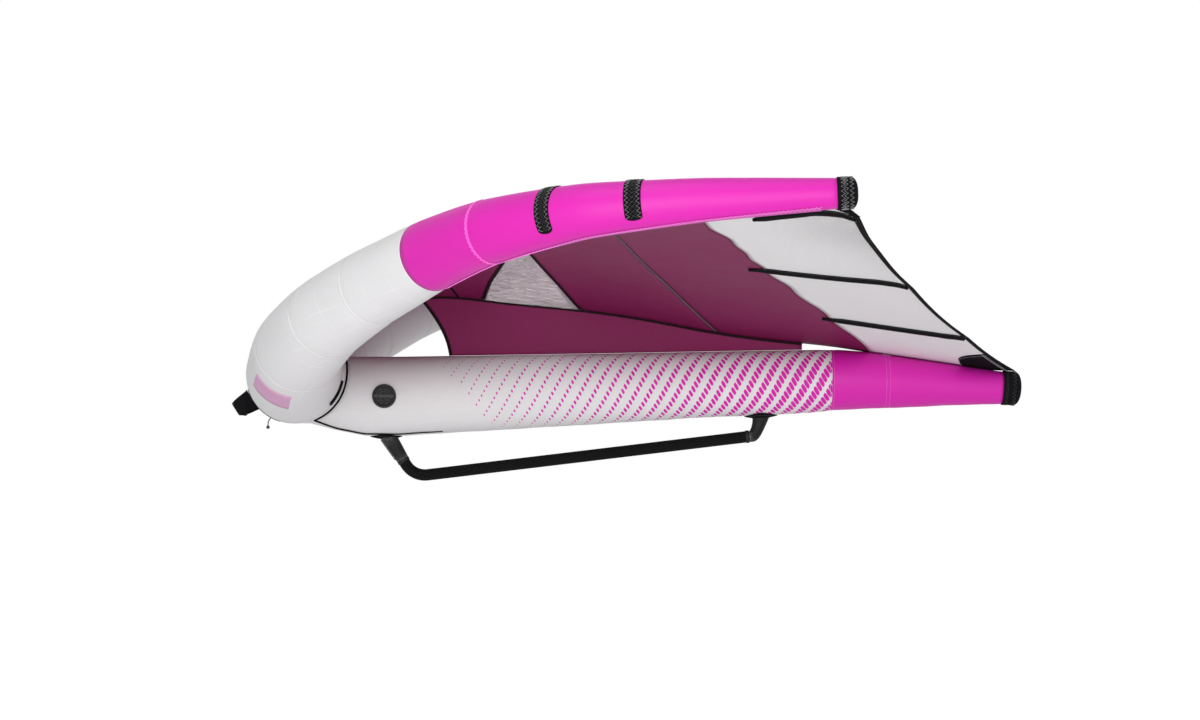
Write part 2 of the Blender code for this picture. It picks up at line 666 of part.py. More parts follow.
def build_zip(edge):
    """The zip over the slot through which the bladder is reached, on the left by the strut."""
    start, end = ZIP_ARC
    angles = [start + (end - start) * k / ZIP_STEPS for k in range(ZIP_STEPS + 1)]
    width = ZIP_WIDTH_SHARE / 2
    rows = [[edge.point(ZIP_SHARE + side, angle, CLOTH + GAP) for side in (-width, width)] for angle in angles]
    mesh = ribbon("access_zip", rows)
    middle = mesh.polygons[len(mesh.polygons) // 2]
    if middle.normal.dot(middle.center - edge.center(ZIP_SHARE)) < 0:
        mesh.flip_normals()
    solidify(add("access_zip", mesh, "black_webbing"), ZIP_THICKNESS)


# Canopy

class Canopy:
    """The left half of the canopy: lines from the leading edge to the centre line, with some billow."""

    def __init__(self, edge, beam):
        self.edge = edge
        self.beam = beam
        last = len(edge.stations) - 1
        tip = edge.centers[last]
        self.corner = tip + Vector((TE_TIP_AFT, TE_TIP_INBOARD, -TE_TIP_DROP))
        angles = CANOPY_ANGLES
        self.angle_at = lambda share: float(np.interp(share, [a[0] for a in angles], [a[1] for a in angles]))
        root = edge.point(0.0, self.angle_at(0.0), CLOTH + CANOPY_LIFT)
        self.length = beam.stations[-1] + TE_PAST_STRUT
        self.strut_seam = self.length * STRUT_SEAM_SHARE
        stations = [root.x, *(self.length * share for share in CAMBER_STATION_SHARES), self.strut_seam]
        heights = [root.z, *CAMBER_HEIGHTS, self.strut_top(self.strut_seam)]
        self.camber = cubic_through(stations, heights)
        self.seam = cubic_through([s for s, _ in SPAN_LINE_SHARES],
                                  [self.length * x if s else root.x for s, x in SPAN_LINE_SHARES])

    def strut_top(self, x):
        """Just over the strut's top and, towards its end, over the cap."""
        beam = self.beam
        mouth = beam.stations[-1] - STRUT_CAP_OVERLAP
        along = beam.frames[-1][0]
        cap = cap_bore(beam, STRUT_CAP_OVERLAP) + CAP_WALL + STRUT_SEAM_GAP
        over = beam.centers[-1].z + (max(x, mouth) - beam.centers[-1].x) * along.z / along.x + cap
        if x >= mouth:
            return over
        step = over - beam.point(mouth, 90, CLOTH + STRUT_SEAM_GAP).z
        ramp = float(np.interp(x, (mouth - CAP_RAMP, mouth), (0.0, 1.0)))
        return beam.point(x, 90, CLOTH + STRUT_SEAM_GAP).z + step * ramp

    def center(self, share):
        """The centre line under the canopy cloth, at the end of the spanwise line that starts at share."""
        x = float(self.seam(share)[0])
        height = float(self.camber(x)[0]) if x < self.strut_seam else self.strut_top(x)
        return Vector((x, -CENTER_SEAM / 2, height))

    def outer(self, share):
        """The end of that line on the leading edge, or at the trailing edge the canopy's corner."""
        if share >= 1.0:
            return self.corner.copy()
        return self.edge.point(share, self.angle_at(share), CLOTH + CANOPY_LIFT)

    def straight(self, share, across):
        """A point on the spanwise line of this share, with its billow."""
        rise = BILLOW * 4 * across * (1 - across) * math.sin(math.pi * min(share, 1.0)) ** 0.7
        return self.outer(share).lerp(self.center(share), across) + UP * rise

    def point(self, share, across):
        """across is 0 at the leading edge and 1 at the centre. Behind the last seam the cloth is drawn in."""
        start = MAROON_REAR_SHARES[-1]
        point = self.straight(share, across)
        if share <= start:
            return point
        return point.lerp(self.straight(start, across), TE_HOLLOW_SHARE * 4 * across * (1 - across))

    def panel(self, name, begin, first, last, rows):
        """The sheet between two seams, from begin, a place across, to the centre line.

        A seam has a share at the leading edge, at the window's point and at the centre.
        """
        shape = bmesh.new()
        spans = round(SPAN_CELLS * (1 - begin))
        bmesh.ops.create_grid(shape, x_segments=rows, y_segments=spans, size=0.5)
        for vert in shape.verts:
            across = begin + (1 - begin) * (vert.co.y + 0.5)
            places = (0.0, WINDOW_POINT, 1.0)
            low, high = (float(np.interp(across, places, shares)) for shares in (first, last))
            vert.co = self.point(low + (high - low) * (vert.co.x + 0.5), across)
        mesh = bpy.data.meshes.new(name)
        shape.to_mesh(mesh)
        shape.free()
        return welded(mesh, SEAM)


def upward(mesh):
    """Turns an open sheet's faces so that most of them look up."""
    if sum(p.normal.z * p.area for p in mesh.polygons) < 0:
        mesh.flip_normals()
    return mesh


def panel_lines():
    """The canopy's panels: name, where across it begins, front and rear seam, rows of cells and slot."""
    lines = (
        ("canopy_front", 0, (0.0,) * 3, WINDOW_FRONT_SHARES, 9, "canopy_maroon"),
        ("canopy_window", WINDOW_POINT, WINDOW_FRONT_SHARES, WINDOW_REAR_SHARES, 3, "window_film"),
        ("canopy_middle", 0, WINDOW_REAR_SHARES, MIDDLE_REAR_SHARES, 3, "canopy_maroon"),
        ("canopy_rear", 0, MIDDLE_REAR_SHARES, MAROON_REAR_SHARES, 3, "canopy_maroon"),
        ("canopy_tip", 0, MAROON_REAR_SHARES, (TAPE_FRONT,) * 3, 4, "canopy_grey"),
        ("trailing_edge_tape", 0, (TAPE_FRONT,) * 3, (1.0,) * 3, 1, "black_webbing"),
    )
    for name, begin, first, last, rows, slot in lines:
        cuts = (PANEL_CUT, 0.0, PANEL_CUT) if begin else (PANEL_CUT,) * 3
        first = tuple(share + cut if share else share for share, cut in zip(first, cuts))
        last = tuple(share - cut if share < 1 else share for share, cut in zip(last, cuts))
        yield name, begin, first, last, rows, slot


def build_canopy(cover):
    sheets = []
    for name, begin, first, last, rows, slot in panel_lines():
        mesh = upward(cover.panel(name, begin, first, last, rows))
        sheets.append(mesh.copy())
        for side in add_pair(name, mesh, slot):
            solidify(side, CANOPY_CLOTH)
    return sheets


def sheet_tree(sheets):
    shape = bmesh.new()
    for mesh in sheets:
        shape.from_mesh(mesh)
    tree = BVHTree.FromBMesh(shape)
    shape.free()
    return tree


def under_sheet(tree, point, gap):
    """The point straight below or above this one that lies gap under the canopy."""
    found = tree.ray_cast(point - UP * STRUT_DIAMETER, UP)
    if found[0] is None:
        found = tree.find_nearest(point)
    return found[0] - UP * gap


def ribbon(name, rows):
    """An open strip of faces between rows of two or more points each."""
    shape = bmesh.new()
    made = [[shape.verts.new(point) for point in row] for row in rows]
    for a, b in zip(made, made[1:]):
        for k in range(len(a) - 1):
            shape.faces.new((a[k], b[k], b[k + 1], a[k + 1]))
    mesh = bpy.data.meshes.new(name)
    shape.to_mesh(mesh)
    shape.free()
    return mesh


def build_battens(cover, tree):
    for name, start, end in BATTEN_LINES:
        steps = BATTEN_CELLS
        middles = []
        for k in range(steps + 1):
            share, across = (a + (b - a) * k / steps for a, b in zip(start, end))
            middles.append(cover.point(min(share, TAPE_FRONT), across))
        rows = []
        for k, middle in enumerate(middles):
            ahead = middles[min(k + 1, steps)] - middles[max(k - 1, 0)]
            side = UP.cross(ahead).normalized() * (BATTEN_WIDTH / 2)
            rows.append([under_sheet(tree, middle + side * s, GAP) for s in (-1, 1)])
        for strip in add_pair(name, upward(ribbon(name, rows)), "black_webbing"):
            solidify(strip, BATTEN_THICKNESS, -1.0)


def build_profile_panel(cover, beam):
    """The upright panel between the strut and the canopy's centre line, in rows from roof to foot."""
    roof = canopy_center_line(cover)
    front_top, front_foot, rear = (cover.length * share for share in PANEL_STATION_SHARES)
    columns = {(x - front_foot) / (rear - front_foot) for x in beam.stations if front_foot < x < rear}
    columns |= {(x - front_top) / (rear - front_top) for x, _ in roof if front_top < x < rear}
    columns |= {k / PANEL_COLUMNS for k in range(PANEL_COLUMNS + 1)}
    rows = []
    for back, height in PANEL_CURVE_SHARES:
        front = front_top + (front_foot - front_top) * back
        row = []
        for share in spaced(sorted(columns), PANEL_COLUMN_SHARE):
            top, foot = (x + (rear - x) * share for x in (front_top, front_foot))
            low = beam.point(foot, 90, CLOTH + GAP).z
            high = float(np.interp(top, *zip(*roof))) - 2 * GAP
            belly = PANEL_BELLY * 4 * height * (1 - height) * math.sin(math.pi * share)
            row.append(Vector((front + (rear - front) * share, belly, low + (high - low) * height)))
        rows.append(row)
    solidify(add("profile_panel", ribbon("profile_panel", rows), "canopy_maroon"), PANEL_THICKNESS, 0.0)


def spaced(values, least):
    """Sorted values without those that lie closer than least to the one before."""
    kept = values[:1]
    for value in values[1:]:
        if value - kept[-1] > least:
            kept.append(value)
    return kept


def canopy_center_line(cover):
    """Where the canopy's faceted cloth meets the centre plane, as (station, height)."""
    shares = set()
    for _, _, first, last, rows, _ in panel_lines():
        shares |= {round(first[-1] + (last[-1] - first[-1]) * k / rows, 9) for k in range(rows + 1)}
    points = [cover.center(share) for share in sorted(shares)]
    return [(p.x, p.z) for p in points]


# Boom

def boom_line():
    """The boom's axis: down from the front fitting, round the bend and aft."""
    top, corner, end = (Vector((x, 0.0, z)) for x, z in (BOOM_TOP, BOOM_CORNER, BOOM_END))
    down, aft = (top - corner).normalized(), (end - corner).normalized()
    half = down.angle(aft) / 2
    setback = BOOM_BEND_RADIUS / math.tan(half)
    start, finish = corner + down * setback, corner + aft * setback
    middle = corner + (down + aft).normalized() * (BOOM_BEND_RADIUS / math.sin(half))
    arm = start - middle
    turn = (finish - middle).angle(arm)
    axis = arm.cross(finish - middle).normalized()
    bend = [middle + Matrix.Rotation(turn * k / (BOOM_BEND_POINTS - 1), 3, axis) @ arm
            for k in range(BOOM_BEND_POINTS)]
    return [top] + bend + [end]


def bezier(start, leave, arrive, end, steps):
    """Points of a cubic Bezier curve from start to end."""
    return [start * (1 - t) ** 3 + leave * 3 * t * (1 - t) ** 2 + arrive * 3 * t * t * (1 - t) + end * t ** 3
            for t in (k / steps for k in range(steps + 1))]


def tube_shell(name, points, diameter, wall, slot, sides=RING_SIDES):
    mesh = swept(name, points, [diameter / 2 - wall] * len(points), sides)
    return solidify(add(name, mesh, slot), wall)


def build_boom(beam):
    line = boom_line()
    down = (line[0] - line[1]).normalized()
    socket_mouth = line[0] - down * FRONT_SOCKET_DEPTH
    aft = (line[-1] - line[-2]).normalized()
    tube = tube_shell("boom_tube", line, TUBE_DIAMETER, TUBE_WALL, "aluminium")
    grip = [socket_mouth - down * GAP] + line[1:-1] + [line[-1]]
    tube_shell("boom_grip", grip, GRIP_DIAMETER, GRIP_WALL, "grip_foam")
    front = front_fitting(beam, line, down, socket_mouth)
    rear = rear_fitting(beam, line, aft)
    forward = Vector((-down.z, 0.0, down.x))
    head, shank = SCREW_HEAD / 2, SCREW_SHANK / 2
    place = socket_mouth + down * SCREW_PLACE + forward * SCREW_SEAT
    screw = [(-SCREW_LENGTH, 0.0), (-SCREW_LENGTH, shank), (0.0, shank), (0.0, head), (SCREW_HEAD_HEIGHT, head),
             (SCREW_HEAD_HEIGHT, 0.0)]
    hole = [(-SCREW_LENGTH - OVERRUN, 0.0), (-SCREW_LENGTH - OVERRUN, shank + GAP), (-GAP, shank + GAP),
            (-GAP, head + GAP), (OVERRUN * 2, head + GAP), (OVERRUN * 2, 0.0)]
    add("boom_screw", aimed(turned("boom_screw", screw), place, forward), "steel")
    cutter = add("screw_cutter", aimed(turned("screw_cutter", hole), place, forward))
    across = Vector((0.0, 1.0, 0.0))
    middle = line[-1] - aft * SPIGOT_LENGTH / 2
    half = TUBE_DIAMETER / 2 - GAP
    add("boom_pin", rod("boom_pin", middle - across * half, middle + across * half, SCREW_SHANK), "steel")
    bore = add("pin_cutter", rod("pin_cutter", middle - across * OVERRUN * 2, middle + across * OVERRUN * 2,
                                 SCREW_SHANK + 2 * GAP))
    for piece, hole in ((front, cutter), (tube, cutter), (tube, bore), (rear, bore)):
        boolean(piece, hole)


def front_fitting(beam, line, down, socket_mouth):
    """A tapered socket that takes the boom's front end and rises to the saddle."""
    head = line[0] + down * FRONT_FITTING_RISE
    radii = [FRONT_SOCKET_TOP / 2, FRONT_SOCKET_SHOULDER / 2, FRONT_SOCKET_MOUTH / 2]
    mesh = swept("boom_front_fitting", [head, line[0], socket_mouth], radii, RING_SIDES, caps=True)
    fitting = add("boom_front_fitting", mesh, "grey_plastic")
    bore = add("front_bore", rod("front_bore", line[0] + down * GAP, socket_mouth - down * OVERRUN,
                                 TUBE_DIAMETER + 2 * GAP))
    boolean(fitting, bore)
    boolean(fitting, strut_cutter(beam))
    return fitting


def strut_cutter(beam):
    """The strut with a saddle on it, as a closed solid."""
    found = bpy.data.objects.get("strut_cutter")
    if found:
        return found
    return add("strut_cutter", beam.solid("strut_cutter", CLOTH + GAP + SADDLE_THICKNESS + GAP, LE_SIDES))


def rear_fitting(beam, line, aft):
    """A bent neck from the boom's rear end up to the saddle, with a spigot in the tube."""
    end = line[-1]
    top = Vector((end.x + REAR_FITTING_AFT, 0.0, beam.point(end.x + REAR_FITTING_AFT, 270, CLOTH).z))
    start = end + aft * GAP
    reach = (top.z - start.z) / 2
    collar = start + aft * REAR_FITTING_COLLAR
    leave = min(reach, REAR_FITTING_AFT - 2 * REAR_FITTING_COLLAR)
    bend = bezier(collar, collar + aft * leave, top - UP * reach, top, REAR_FITTING_STEPS)
    points = [start] + bend + [top + UP * REAR_FITTING_RISE]
    narrow, wide = GRIP_DIAMETER / 2, REAR_FITTING_TOP / 2
    growth = [(k / REAR_FITTING_STEPS) ** 2 for k in range(REAR_FITTING_STEPS + 1)]
    radii = [narrow] + [narrow + (wide - narrow) * share for share in growth] + [wide]
    neck = swept("boom_rear_fitting", points, radii, RING_SIDES, caps=True)
    neck = add("boom_rear_fitting", neck, "grey_plastic")
    spigot = add("rear_spigot", rod("rear_spigot", end - aft * SPIGOT_LENGTH, start + aft * GRIP_DIAMETER / 3,
                                    TUBE_DIAMETER - 2 * TUBE_WALL - 2 * GAP))
    boolean(neck, spigot, "UNION")
    boolean(neck, strut_cutter(beam))
    return neck


def build_saddles(beam):
    """Thin oval pads that lie on the strut's bottom and carry the fittings."""
    shell = beam.skin("saddle_shell", CLOTH + GAP, LE_SIDES, 3, len(beam.stations) - 3, (216, 324))
    shell = solidify(add("saddle_shell", shell), SADDLE_THICKNESS)
    saddles = (("boom_front_saddle", FRONT_SADDLE), ("boom_rear_saddle", REAR_SADDLE))
    for name, (station, length, width) in saddles:
        oval = rod("oval", Vector((station, 0, -STRUT_DIAMETER)), Vector((station, 0, 0)), length, RING_SIDES)
        oval.transform(Matrix.Scale(width / length, 4, Vector((0.0, 1.0, 0.0))))
        pad = add(name, oval, "black_webbing")
        boolean(pad, shell, "INTERSECT")


# Front handle and tag line

def build_handle(edge):
    zero = edge.ring(0.0)
    patch_ring = edge.ring(HANDLE_PATCH_SHARE)
    patch = edge.skin("front_patch", CLOTH + GAP, LE_SIDES, 2 * zero - patch_ring, patch_ring, PATCH_ARC)
    solidify(add("front_patch", patch, "black_webbing"), PATCH_THICKNESS)
    turn = math.radians(HANDLE_ANGLE)
    out = Vector((math.cos(turn), 0.0, math.sin(turn)))
    across = Vector((-out.z, 0.0, out.x))
    center = edge.centers[zero]

    def seat(y):
        share = float(np.interp(y, [-c.y for c in edge.centers], edge.stations))
        return (edge.point(share, HANDLE_ANGLE, CLOTH + PATCH_THICKNESS + 3 * GAP) - center).dot(out)

    half, foot, corner = HANDLE_HALF_LENGTH, HANDLE_FOOT, HANDLE_CORNER
    high = seat(0.0) + HANDLE_HEIGHT - STRAP_THICKNESS
    bend = [(half - corner + corner * math.cos(a), high - corner + corner * math.sin(a))
            for a in (math.pi / 2 * k / 4 for k in range(5))]
    heel = STRAP_THICKNESS * 1.5
    side = [(half + foot, seat(half + foot)), (half + heel, seat(half + heel)), (half, seat(half) + heel)] + bend
    path = [(-y, h) for y, h in side] + [(y, h) for y, h in reversed(side)]
    rows = [[center + Vector((0, y, 0)) + out * h + across * s * HANDLE_WIDTH / 2 for s in (-1, 1)]
            for y, h in path]
    mesh = ribbon("front_handle_strap", rows)
    if mesh.polygons[len(mesh.polygons) // 2].normal.dot(out) < 0:
        mesh.flip_normals()
    solidify(add("front_handle_strap", mesh, "black_webbing"), STRAP_THICKNESS)
    pad = box_mesh("front_handle_pad", (PAD_THICKNESS, 2 * PAD_HALF_LENGTH, HANDLE_WIDTH))
    pad_center = center + out * (high - GAP - PAD_THICKNESS / 2)
    pad = add("front_handle_pad", aimed(pad, pad_center, out), "grip_foam")
    round_edges = pad.modifiers.new("round", "BEVEL")
    round_edges.width = PAD_THICKNESS * 0.35
    round_edges.segments = 2


def build_tag():
    line = [Vector(p) for p in TAG_ROUTE]
    mesh = swept("tag_line", line, [TAG_DIAMETER / 2] * len(line), 8, caps=True)
    add("tag_line", mesh, "tag_line")
    down = (line[-1] - line[-2]).normalized()
    shape = bmesh.new()
    bmesh.ops.create_uvsphere(shape, u_segments=12, v_segments=8, radius=KNOT_DIAMETER / 2)
    bmesh.ops.translate(shape, vec=line[-1] + down * (KNOT_DIAMETER / 2 + GAP), verts=shape.verts)
    knot = bpy.data.meshes.new("tag_knot")
    shape.to_mesh(knot)
    shape.free()
    add("tag_knot", knot, "tag_line")


# Valve

def build_valve(beam, sleeve, bladder):
    """A twist-cap valve with a sprung poppet, its axis across the strut's left side."""
    seat = Vector((VALVE_STATION, -beam.radius(VALVE_STATION) - CLOTH, beam.center(VALVE_STATION).z))
    out = Vector((0.0, -1.0, 0.0))

    def place(name, outline, slot, sides=24):
        return add(name, aimed(turned(name, outline, sides), seat, out), slot)

    bore, body, flange = VALVE_BORE / 2, VALVE_BODY / 2, VALVE_FLANGE / 2
    top, depth = VALVE_FLANGE_TOP, VALVE_DEPTH
    seat_bore = VALVE_SEAT_BORE / 2
    saddle = STRUT_DIAMETER / 2 - math.sqrt((STRUT_DIAMETER / 2) ** 2 - flange ** 2) + CLOTH
    outline = [(top, bore), (top, flange), (-saddle, flange), (-saddle, body), (-depth, body),
               (-depth, seat_bore), (VALVE_SEAT_THICKNESS - depth, seat_bore),
               (VALVE_SEAT_THICKNESS - depth, bore)]
    base = place("valve_base", outline, "black_plastic")
    below, above = -depth - OVERRUN, top + OVERRUN
    collar = place("valve_collar_cutter", [(below, body + GAP), (above, body + GAP), (above, flange + OVERRUN),
                                           (below, flange + OVERRUN)], None)
    skin = add("valve_skin_cutter", beam.solid("valve_skin_cutter", CLOTH + GAP, LE_SIDES, 2, 6))
    boolean(skin, collar, "INTERSECT")
    boolean(base, skin)
    hole = place("valve_hole", [(below, 0.0), (below, body + GAP), (top, body + GAP), (top, 0.0)], None)
    boolean(sleeve, hole)
    boolean(bladder, hole)

    hub, stem = SPIDER_HUB / 2, STEM_DIAMETER / 2
    spider_top = -SPIDER_DEPTH + SPIDER_THICKNESS
    guide = place("valve_guide", [(-SPIDER_DEPTH, stem + TURN_GAP), (-SPIDER_DEPTH, hub), (spider_top, hub),
                                  (spider_top, stem + TURN_GAP)], "grey_plastic", RING_SIDES)
    reach = bore * math.cos(math.pi / 24) - GAP
    arms = []
    for k in range(3):
        arm = box_mesh("arm", (SPIDER_THICKNESS, SPIDER_ARM, reach - hub + GAP * 4),
                       (0.0, 0.0, (reach + hub - GAP * 4) / 2))
        arm.transform(Matrix.Rotation(math.tau * k / 3, 4, "X"))
        arms.append(arm)
    spokes = aimed(joined("spokes", arms), seat + out * (spider_top - SPIDER_THICKNESS / 2), out)
    boolean(guide, add("spider_arms", spokes), "UNION")

    seat_face = -depth - GAP
    seal_in, seal_out, seal_thick = POPPET_SEAL[0] / 2, POPPET_SEAL[1] / 2, POPPET_SEAL[2]
    seal = place("valve_seal", [(seat_face, seal_in), (seat_face, seal_out), (seat_face - seal_thick, seal_out),
                                (seat_face - seal_thick, seal_in)], "rubber")
    disc = seat_face - seal_thick - GAP
    button = -BUTTON_TOP
    poppet = place("valve_poppet", [
        (disc - POPPET_THICKNESS, 0.0), (disc - POPPET_THICKNESS, POPPET_DIAMETER / 2),
        (disc, POPPET_DIAMETER / 2), (disc, stem), (button - BUTTON_THICKNESS, stem),
        (button - BUTTON_THICKNESS, BUTTON_DIAMETER / 2), (button, BUTTON_DIAMETER / 2),
        (button, 0.0)], "grey_plastic")
    for moving in (seal, poppet):
        hung_at(moving, seat)
    build_spring(seat, out, spider_top + GAP, button - BUTTON_THICKNESS - GAP)
    build_cap(seat, out, bore, top)


def build_spring(seat, out, low, high):
    """A closed coil from the guide to the underside of the button."""
    radius = (SPRING_DIAMETER - SPRING_WIRE) / 2
    first, last = low + SPRING_WIRE / 2, high - SPRING_WIRE / 2
    steps = 9 * SPRING_TURNS
    points = []
    for k in range(steps + 1):
        turn = math.tau * SPRING_TURNS * k / steps
        points.append(seat + out * (first + (last - first) * k / steps)
                      + Vector((math.cos(turn), 0.0, math.sin(turn))) * radius)
    mesh = swept("valve_spring", points, [SPRING_WIRE / 2] * len(points), 6, caps=True)
    add("valve_spring", mesh, "steel")


def build_cap(seat, out, bore, top):
    """The cap: a rimmed, dished disc with a grip bar, and a plug that fits the body's bore."""
    low = top + GAP
    high = low + CAP_HEIGHT
    rim = CAP_DIAMETER / 2
    plug = bore - TURN_GAP
    chamfer = CAP_RIM * 0.3
    outline = [
        (low, 0.0), (low, plug - CAP_PLUG_WALL), (low - CAP_PLUG_DEPTH, plug - CAP_PLUG_WALL),
        (low - CAP_PLUG_DEPTH, plug), (low, plug), (low, rim), (high - chamfer, rim), (high, rim - chamfer),
        (high, rim - CAP_RIM), (low + CAP_FLOOR, rim - CAP_RIM - chamfer), (low + CAP_FLOOR, 0.0)]
    cap = hung_at(add("valve_cap", aimed(turned("valve_cap", outline, 24), seat, out), "black_plastic"), seat)
    bar = box_mesh("cap_bar", (CAP_HEIGHT - CAP_FLOOR, 2 * (rim - CAP_RIM), CAP_BAR),
                   ((low + CAP_FLOOR + high) / 2 - GAP, 0.0, 0.0))
    boolean(cap, add("cap_bar", aimed(bar, seat, out)), "UNION")


def build_corner_patches(cover, tree):
    """Black patches under the canopy where its trailing edge meets the strut's end."""
    rows = []
    for k in range(PATCH_STEPS + 1):
        share = PATCH_START + (TAPE_FRONT - PANEL_CUT - PATCH_START) * k / PATCH_STEPS
        inner = 1 - PATCH_INSET / HALF_SPAN
        outer = inner - (PATCH_WIDTH * (k / PATCH_STEPS) ** 0.5 + PATCH_TIP_WIDTH) / HALF_SPAN
        places = (outer, (outer + inner) / 2, inner)
        rows.append([under_sheet(tree, cover.point(share, across), GAP) for across in places])
    mesh = upward(ribbon("corner_patch", rows))
    for side in add_pair("corner_patch", mesh, "black_webbing"):
        solidify(side, PATCH_CLOTH, -1.0)


def build_tip_webbing(edge, cover):
    """The webbing that ties the canopy's corner to the cap of an arm: a small three-sided plate."""
    tip = edge.centers[-1]
    along, side, _ = edge.frames[-1]
    cap = cap_bore(edge, TIP_CAP_OVERLAP) + CAP_WALL + GAP
    toward = (cover.corner - tip).normalized()
    down = (toward - along * toward.dot(along)).normalized()
    high = tip + down * cap
    corner = cover.corner - toward * TIP_WEBBING_TIP - UP * (BAND_THICKNESS / 2 + GAP)
    rows = [(high - along * TIP_WEBBING_HALF, high + along * TIP_WEBBING_HALF),
            (corner - along * TIP_WEBBING_TIP, corner + along * TIP_WEBBING_TIP)]
    mesh = ribbon("tip_webbing", rows)
    for strap in add_pair("tip_webbing", mesh, "black_webbing"):
        solidify(strap, BAND_THICKNESS, 0.0)


def shift_to_grip():
    """Moves every part so that the origin is the middle of the boom's grip."""
    rig = bpy.data.objects.new("grip_origin", None)
    PARTS.objects.link(rig)
    rig.location = -GRIP
    for obj in list(PARTS.objects) + list(CUTTERS.objects):
        if obj is not rig:
            obj.parent = rig
    bpy.context.view_layer.update()


def main():
    edge, beam = leading_edge(), strut()
    sleeve, bladder = build_sleeves(edge, beam)
    build_hose(edge)
    build_caps(edge, beam)
    build_bands(edge)
    build_piping(edge, beam)
    build_zip(edge)
    cover = Canopy(edge, beam)
    sheets = build_canopy(cover)
    tree = sheet_tree(sheets)
    build_battens(cover, tree)
    build_profile_panel(cover, beam)
    build_boom(beam)
    build_saddles(beam)
    build_tip_webbing(edge, cover)
    build_corner_patches(cover, tree)
    build_handle(edge)
    build_tag()
    build_valve(beam, sleeve, bladder)
    shift_to_grip()


clear_scene()
PARTS = collection("wingfoil_wing")
CUTTERS = collection("cutters")
main()
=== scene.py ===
"""Dresses the wingfoil wing: sewn sleeves, panelled canopy, webbing, stitching, boom, handle and valve."""
import math
from contextlib import contextmanager

import bmesh
import bpy
import numpy as np
from bpy.props import FloatProperty, FloatVectorProperty, IntProperty, PointerProperty
from mathutils import Matrix, Vector


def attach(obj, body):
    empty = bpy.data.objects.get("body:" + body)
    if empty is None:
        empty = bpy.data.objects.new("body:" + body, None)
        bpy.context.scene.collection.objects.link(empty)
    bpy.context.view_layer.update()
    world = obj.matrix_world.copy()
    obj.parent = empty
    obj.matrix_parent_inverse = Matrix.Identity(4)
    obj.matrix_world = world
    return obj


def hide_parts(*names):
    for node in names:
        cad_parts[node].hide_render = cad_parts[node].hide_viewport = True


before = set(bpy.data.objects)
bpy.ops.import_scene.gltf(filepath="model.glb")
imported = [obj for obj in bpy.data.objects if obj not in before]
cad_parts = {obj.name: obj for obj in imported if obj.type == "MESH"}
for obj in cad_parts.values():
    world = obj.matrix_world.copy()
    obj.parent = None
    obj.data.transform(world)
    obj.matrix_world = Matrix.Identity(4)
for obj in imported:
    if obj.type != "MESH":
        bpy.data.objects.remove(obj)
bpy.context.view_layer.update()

bl_info = {
    "name": "Wingfoil Wing Dresser",
    "version": (1, 0, 0),
    "blender": (4, 5, 0),
    "location": "View3D > Sidebar > Wing",
    "description": "Builds the cloth, webbing, stitching and fittings of an inflatable wing over its frame",
    "category": "Object",
}

UP, DOWN = Vector((0.0, 0.0, 1.0)), (0, 0, -1)
SIDEWAYS = np.array((0.0, 1.0, 0.0))

# Lengths are metres from the nose, +X aft and +Z up, until a piece is placed with its origin at the boom's grip
GRIP = np.array((0.900, 0.0, -0.156))
HALF_SPAN, SWEEP, TIP_RISE = 1.52, 1.354, 0.393
NOSE_RADIUS, ARM_RADIUS, TIP_RADIUS = 0.135, 0.090, 0.0345
EDGE_HEIGHT = 0.071
EDGE_SPAN = (0.0, 0.212, 0.428, 0.669, 0.922, 1.0)
EDGE_SWEEP = (0.0, -0.001, 0.048, 0.237, 0.518, 1.0)
EDGE_RISE = (0.0, -0.043, 0.186, 0.598, 0.885, 1.0)
EDGE_SEAMS = (0.128, 0.256, 0.344, 0.436)        # cross seams of the pale sleeve, as shares of an arm
EDGE_FACETS = (0.755, 0.875)                     # further shares at which the tube's straight panels meet
EDGE_FLATNESS = 0.5                              # 0 is a smooth curve, 1 is straight from seam to seam
EDGE_TRIM = (                                    # small moves of the tube's axis: shares, then the moves there
    (0.0, 0.06, 0.12, 0.18, 0.25, 0.35, 0.48, 0.60, 0.80, 1.0),
    ((0, 0, 0), (0.006, 0, 0.002), (0.016, 0, 0.006), (0.011, 0, 0.004), (0.002, 0, 0), (0, 0, -0.003),
     (0, 0, -0.006), (0, 0, -0.001), (0, 0, -0.0025), (0, 0, -0.002)),
)
EDGE_CREASES = ((0.20, 0.07, 95.0), (0.30, 0.05, 120.0), (0.40, 0.05, 105.0))    # share, spread, waves per metre
PINCH_REACH, SEAM_REACH = 0.013, 0.0045          # how far a seam draws in the cloth, and how wide its ridge is
PINK_SHARE = 0.535                               # where the arm's bright cloth starts
PINK_SEAM = 0.630                                # the arm's taped cross seam
FLAP_EDGE = ((0.535, 281), (0.636, 272), (0.769, 252), (0.869, 247), (0.989, 234))
FLAP_TOP = 304.0
TAPE_ARCS = ((80, 250), (150, 330), (160, 335), (150, 330))
EDGE_PATCH = (0.2185, 207, 262)                  # middle share and first and last angle
BANDS, BAND_ARC = ((0.711, 0.727), (0.799, 0.816)), (54, 219)
BAND_STITCHES = ((0.17, "grey_thread"), (0.42, "dark_thread"), (0.62, "dark_thread"), (0.83, "grey_thread"))
ZIP_SHARE, ZIP_ARC, ZIP_HALF = 0.150, (318, 350), 0.0130
BLADDER_GAP = 0.0045
TAPE_LIFT, TAPE_WALL = 0.0002, 0.0003            # of the flat seam tapes on the tubes
STRUT_START, STRUT_LENGTH, STRUT_DIAMETER = 0.136, 1.9, 0.212
STRUT_BREAK, STRUT_TAIL_SEAM = 1.571, 1.722      # stations where the printed cloth ends and where the tail is pieced
